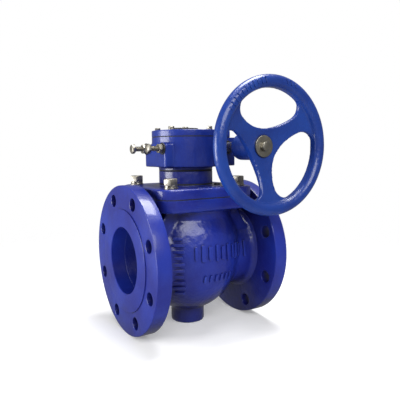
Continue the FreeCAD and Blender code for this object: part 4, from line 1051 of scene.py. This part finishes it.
# %% Wires: arithmetic on shader values
class Wire:
    """One output of a shader node; arithmetic on it adds Math nodes."""

    def __init__(self, finish, socket):
        self.finish, self.socket = finish, socket

    def math(self, operation, *values):
        """Math node on this wire's material."""
        return self.finish.node("ShaderNodeMath", {"operation": operation}, dict(enumerate(values)))

    def __add__(self, other):
        return self.math("ADD", self, other)

    def __sub__(self, other):
        return self.math("SUBTRACT", self, other)

    def __rsub__(self, other):
        return self.math("SUBTRACT", other, self)

    def __mul__(self, other):
        return self.math("MULTIPLY", self, other)

    __radd__ = __add__
    __rmul__ = __mul__

    def length(self):
        """Length of a vector."""
        return self.finish.node("ShaderNodeVectorMath", {"operation": "LENGTH"}, {0: self}, "Value")

    def above(self, edge, width):
        """0 well below the edge and 1 well above it."""
        limits = {"Value": self, "From Min": edge - width, "From Max": edge + width}
        return self.finish.node("ShaderNodeMapRange", {"interpolation_type": "SMOOTHSTEP"}, limits)

    def between(self, low_value, high_value):
        """The wire's 0 to 1 stretched to a new range."""
        return self * (high_value - low_value) + low_value


print("wire operators ready")


# %% Finish: one material
class Finish:
    """A material on the Principled shader, with its coordinates at hand."""

    def __init__(self, name, **constants):
        self.material = bpy.data.materials.new(name)
        self.material.use_nodes = True
        self.tree = self.material.node_tree
        self.shader = self.tree.nodes["Principled BSDF"]
        self.place = self.node("ShaderNodeTexCoord", {}, {}, "Object")
        self.use(**constants)

    def feed(self, socket, value):
        """Links a wire to a socket, or sets the socket to a constant."""
        if isinstance(value, Wire):
            self.tree.links.new(value.socket, socket)
        else:
            socket.default_value = value

    def node(self, kind, settings, sockets, out=0):
        """Any node: its settings first, then its sockets' values or wires."""
        made = self.tree.nodes.new(kind)
        for label, value in settings.items():
            setattr(made, label, value)
        for label, value in sockets.items():
            self.feed(made.inputs[label], value)
        return Wire(self, made.outputs[out])

    def noise(self, scale, detail=2.0, roughness=0.5, place=None):
        """Noise of so many cycles a metre, 0 to 1."""
        values = {"Vector": place or self.place, "Scale": scale, "Detail": detail,
                  "Roughness": roughness}
        return self.node("ShaderNodeTexNoise", {}, values, "Fac")

    def axis(self, label):
        """One coordinate of the object's space."""
        return self.node("ShaderNodeSeparateXYZ", {}, {"Vector": self.place}, label)

    def blend(self, factor, one, two):
        """Mix of two colours."""
        values = {0: factor, 6: one, 7: two}
        return self.node("ShaderNodeMix", {"data_type": "RGBA"}, values, 2)

    def stretched(self, x, y, z):
        """The coordinates scaled along each axis, for grain with a direction."""
        return self.node("ShaderNodeVectorMath", {"operation": "MULTIPLY"},
                         {0: self.place, 1: (x, y, z)})

    def bump(self, height, depth, under=None):
        """Bump whose height of 1 stands for so many metres."""
        values = {"Height": height, "Distance": depth, "Strength": 1.0}
        if under:
            values["Normal"] = under
        return self.node("ShaderNodeBump", {}, values)

    def use(self, **wires):
        """Links wires to the shader's own sockets, or sets them to constants."""
        for label, value in wires.items():
            self.feed(self.shader.inputs[label.replace("_", " ")], value)
        return self.material


print("finish helpers ready")

# %% [markdown]
# ### Gloss paint on cast iron
# The body is sprayed with deep blue epoxy. Three things make sprayed castings read as real: the
# sand grain of the casting under the paint, the fine orange peel of the paint itself, and a clear
# glossy top that reflects the lamps. The first two are bumps of different sizes. The gloss is the
# shader's coat, which keeps its own constant roughness. Ridges are a little lighter, partly for the
# thin paint there and partly as a painted highlight. Recesses get painted shade: where the surface
# is closed in by its neighbours, the colour goes towards a darker one.


# %% Paint
CLOUDS, SPECKS, SAND, PEEL, PITS, LUMPS = 16, 900, 420, 240, 130, 48
# Dark blue of the painted shade in recesses.
PAINTED_SHADE_COLOUR = (0.005, 0.003, 0.045)


def paint(name, colour, shade, light, grain, ridge_wear_and_highlight=False, turned_faces=None):
    """Glossy epoxy over a sand casting, with painted shade in recesses; turned faces show fine rings.
    """
    finish = Finish(name, Coat_Roughness=0.07, Coat_IOR=1.45, IOR=1.45)
    cloud = finish.noise(CLOUDS, 3)
    speck = finish.noise(SPECKS, 2)
    tone = finish.blend(cloud.above(0.5, 0.25), (*shade, 1), (*colour, 1))
    tone = finish.blend(speck.above(0.66, 0.05) * 0.22, tone, (*light, 1))
    # Painted shade: where ambient occlusion finds the surface closed in, the colour goes towards a dark
    # blue.
    openness = finish.node("ShaderNodeAmbientOcclusion", {"samples": 8}, {"Distance": 90 * MM}, "AO")
    tone = finish.blend((1 - openness.above(0.5, 0.42)) * 0.85, tone, (*PAINTED_SHADE_COLOUR, 1))
    sand = finish.noise(SAND, 3, 0.6)
    peel = finish.noise(PEEL, 1)
    pits = finish.noise(PITS, 2)
    lumps = finish.noise(LUMPS, 2)
    cast_mask = 1.0
    rings = None
    if turned_faces:
        x = finish.axis("X")
        low_edge, high_edge, pitch = turned_faces
        cast_mask = x.above(low_edge, 0.4 * MM) * (1 - x.above(high_edge, 0.4 * MM))
        off_axis = finish.stretched(0, 1, 1).length()
        wave = (off_axis + x) * (2 * math.pi / pitch)
        rings = wave.math("SINE", wave) * (1 - cast_mask)
    # Ridges a little lighter: partly thin paint, partly a painted highlight.
    if ridge_wear_and_highlight:
        bend = finish.node("ShaderNodeNewGeometry", {}, {}, "Pointiness").above(0.535, 0.03)
        tone = finish.blend(bend * 0.3 * cast_mask, tone, (*light, 1))
    height = (sand * 0.5 + pits * 2.4 + lumps * 3.0) * cast_mask * grain + peel * 0.35
    if rings:
        height = height + rings * 0.035
    rough = finish.noise(70, 3).between(0.26, 0.42)
    coat = finish.noise(40, 2).between(0.3, 0.6)
    return finish.use(Base_Color=tone, Roughness=rough, Coat_Weight=coat,
                      Normal=finish.bump(height, 0.4 * MM))


TURNED = (FLANGE_THICKNESS, FACE_TO_FACE - FLANGE_THICKNESS, 0.9 * MM)
paints = {
    "body_paint": paint("body_gloss_paint", (0.010, 0.028, 0.30), (0.007, 0.012, 0.19),
                        (0.04, 0.09, 0.5), 1.0, True, TURNED),
    "gearbox_paint": paint("gearbox_gloss_paint", (0.006, 0.032, 0.28), (0.005, 0.018, 0.20),
                           (0.03, 0.10, 0.45), 0.5),
    "wheel_paint": paint("handwheel_gloss_paint", (0.006, 0.043, 0.27), (0.005, 0.025, 0.19),
                         (0.04, 0.13, 0.48), 0.7),
}
print("paints:", sorted(paints))

# %% [markdown]
# ### Metals
# Zinc plated bolts are metallic, but soft and slightly yellow grey, with darker stains from
# handling. Turned parts show fine lines round their axis. One function makes all the metals from a
# colour, a gloss and the strength of their stains.


# %% Metals
def metal(name, colour, stain, gloss, grain_scale=(1, 1, 1), stained=0.5):
    """Metal with stains, fine grain and small scratches."""
    finish = Finish(name, IOR=2.2)
    patches = finish.noise(130, 4, 0.65).above(0.58, 0.16)
    fine = finish.noise(2200, 2, 0.6, finish.stretched(*grain_scale))
    tone = finish.blend(patches * stained, (*colour, 1), (*stain, 1))
    tone = finish.blend(fine.above(0.6, 0.2) * 0.35, tone, (*[c * 0.7 for c in colour], 1))
    rough = patches.between(gloss, gloss + 0.22) + fine.between(-0.04, 0.06)
    return finish.use(Base_Color=tone, Metallic=patches.between(1.0, 0.75), Roughness=rough,
                      Normal=finish.bump(fine + finish.noise(300, 2), 0.02 * MM))


metals = {
    "zinc_steel": metal("zinc_plate", (0.36, 0.34, 0.29), (0.12, 0.10, 0.07), 0.32, stained=0.6),
    "bare_steel": metal("turned_steel", (0.48, 0.48, 0.49), (0.2, 0.18, 0.16), 0.24, (0.2, 1, 0.2)),
    "iron": metal("machined_iron", (0.20, 0.20, 0.21), (0.08, 0.07, 0.06), 0.36),
    "nickel": metal("nickel_overlay", (0.58, 0.55, 0.50), (0.35, 0.32, 0.28), 0.2, stained=0.3),
    "bronze": metal("bearing_bronze", (0.56, 0.33, 0.13), (0.25, 0.13, 0.06), 0.3),
}
print("metals:", sorted(metals))

# %% [markdown]
# ### Rubber, packing and plastic
# Seals are matt black with a dusty bloom. The stem packing is braided, so two crossed sets of waves
# stand for its plait. The pointer disc is a smooth black moulding with a faint grain.


# %% Black materials
def black(name, colour, dust, gloss, grain, depth, braid=False):
    """Matt black moulding with dust in its grain."""
    finish = Finish(name, IOR=1.5)
    fine = finish.noise(grain, 3)
    bloom = finish.noise(60, 3).above(0.55, 0.15)
    height = fine
    if braid:
        x, z = finish.axis("X"), finish.axis("Z")
        one, two = (x + z) * 1800, (x - z) * 1800
        height = one.math("SINE", one) * two.math("SINE", two) + fine * 0.4
    tone = finish.blend(bloom * 0.5, (*colour, 1), (*dust, 1))
    return finish.use(Base_Color=tone, Roughness=bloom.between(gloss, gloss + 0.2),
                      Normal=finish.bump(height, depth))


blacks = {
    "rubber": black("black_rubber", (0.012, 0.012, 0.014), (0.035, 0.035, 0.04), 0.5, 1100,
                    0.05 * MM),
    "packing": black("braided_packing", (0.05, 0.048, 0.045), (0.1, 0.1, 0.1), 0.6, 900, 0.3 * MM,
                     True),
    "black_plastic": black("black_moulding", (0.014, 0.014, 0.016), (0.03, 0.03, 0.035), 0.34, 700,
                           0.03 * MM),
}
looks = {**paints, **metals, **blacks}
slot_of = {row["node"]: row["material_slot"] for row in frame["record"]["subparts"]}
print("finishes:", len(looks))

# %% [markdown]
# ## Putting it together
# Each made piece now hides the frame node it stands for, rides on its moving body and wears its
# finish. Nodes whose own shape is right already only get a finish.

# %% Pieces, bodies and finishes
STAYS, TURNS, SPINS = "valve_body", "plug_and_sector", "handwheel_and_worm"
made = {"body_casting": body, "bonnet": bonnet, "adapter_neck": neck, "gearbox_housing": housing,
        "gearbox_cover": cover, "handwheel": wheel, "indicator": pointer,
        "bonnet_pipe_plug": socket_plug, "worm_end_plug": end_plug, **seals, **hardware}
moving = {TURNS: ["indicator", "indicator_screw"],
          SPINS: ["handwheel", "handwheel_washer", "handwheel_bolt"]}


def wear(piece, look):
    """Gives a piece one finish."""
    piece.data.materials.clear()
    piece.data.materials.append(look)


for node, piece in made.items():
    owner = next((body_name for body_name, nodes in moving.items() if node in nodes), STAYS)
    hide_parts(node)
    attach(piece, owner)
    wear(piece, looks[slot_of[node]])
carried = [node for node in slot_of if node not in made]
for node in carried:
    wear(frame["nodes"][node], looks[slot_of[node]])
print("made:", len(made), "carried over:", len(carried))

# %% [markdown]
# ## Floor, light and camera
# The valve stands on a pale floor whose edge fades out, so no horizon shows. Three softboxes light
# it. A square one overhead gives the soft highlight along the tops and the handwheel's rim, a wide
# one at the front left lights the belly and the wheel, and a square one at the left, level with the
# valve, fills the flange's face. The world is a dim even grey for the parts and white behind them.

# %% Floor
floor = turned("floor", disc_outline(1.6, FLOOR_Z - 2 * MM, FLOOR_Z, 0.5 * MM), STEM)
ground = Finish("pale_floor", Specular_IOR_Level=0.1, Emission_Color=(1, 1, 1, 1),
                Emission_Strength=0.24)
spread = ground.stretched(1, 1, 0).length()
dust = ground.noise(30, 3)
wear(floor, ground.use(Base_Color=ground.blend(dust, (0.80, 0.80, 0.805, 1), (0.83, 0.83, 0.835, 1)),
                       Roughness=dust.between(0.55, 0.65), Alpha=1 - spread.above(0.62, 0.35)))
floor.visible_glossy = False
print("floor at", round(FLOOR_Z, 4))


# %% Lamps
MIDDLE = Vector((STEM.x, STEM.y, 0.05))
WORLD_LIGHT, WORLD_SEEN = 0.22, 1.0


def lamp(name, where, width, height, power):
    """Rectangular white softbox that faces the valve's middle."""
    light = bpy.data.lights.new(name, "AREA")
    light.shape, light.size, light.size_y = "RECTANGLE", width, height
    light.energy = power
    stand = bpy.data.objects.new(name, light)
    stand.location = where
    stand.rotation_euler = (where - MIDDLE).to_track_quat("Z", "Y").to_euler()
    bpy.context.scene.collection.objects.link(stand)


for name, offset, width, height, power in (("overhead_softbox", (0.25, 0.0, 1.3), 0.7, 0.7, 22),
                                           ("front_softbox", (-0.3, -1.15, 0.8), 1.3, 0.6, 15),
                                           ("left_softbox", (-1.3, 0.4, 0.05), 0.8, 0.8, 19)):
    lamp(name, MIDDLE + Vector(offset), width, height, power)

world = bpy.data.worlds.new("studio")
world.use_nodes = True
bpy.context.scene.world = world
sky = world.node_tree
backdrop = sky.nodes["Background"]
backdrop.inputs["Color"].default_value = (1, 1, 1, 1)
path = sky.nodes.new("ShaderNodeLightPath")
strength = sky.nodes.new("ShaderNodeMapRange")
strength.inputs["To Min"].default_value = WORLD_LIGHT
strength.inputs["To Max"].default_value = WORLD_SEEN
sky.links.new(path.outputs["Is Camera Ray"], strength.inputs["Value"])
sky.links.new(strength.outputs[0], backdrop.inputs["Strength"])
bpy.context.scene.view_settings.view_transform = "Standard"
print("lamps and world ready")

# %% [markdown]
# The camera stands low at the front left and looks along the valve. Its axes are built from three
# angles, so each can be changed alone.

# %% Camera
CAMERA_PLACE = Vector((-0.24994, -0.62605, 0.16119))
TURN, PITCH, ROLL = (math.radians(a) for a in (-31.82, 6.01, -0.59))
LENS = 40.13
back = Vector((math.sin(TURN) * math.cos(PITCH), -math.cos(TURN) * math.cos(PITCH), math.sin(PITCH)))
right = Vector((math.cos(TURN), math.sin(TURN), 0))
above = back.cross(right)
side_axis = right * math.cos(ROLL) + above * math.sin(ROLL)
top_axis = above * math.cos(ROLL) - right * math.sin(ROLL)
camera_data = bpy.data.cameras.new("camera")
camera_data.lens = LENS
camera = bpy.data.objects.new("camera", camera_data)
facing = Matrix((side_axis, top_axis, back)).transposed().to_4x4()
camera.matrix_world = Matrix.Translation(CAMERA_PLACE) @ facing
bpy.context.scene.collection.objects.link(camera)
bpy.context.scene.camera = camera
print("camera", tuple(round(v, 3) for v in camera.location))

# %% End
print("scene built")
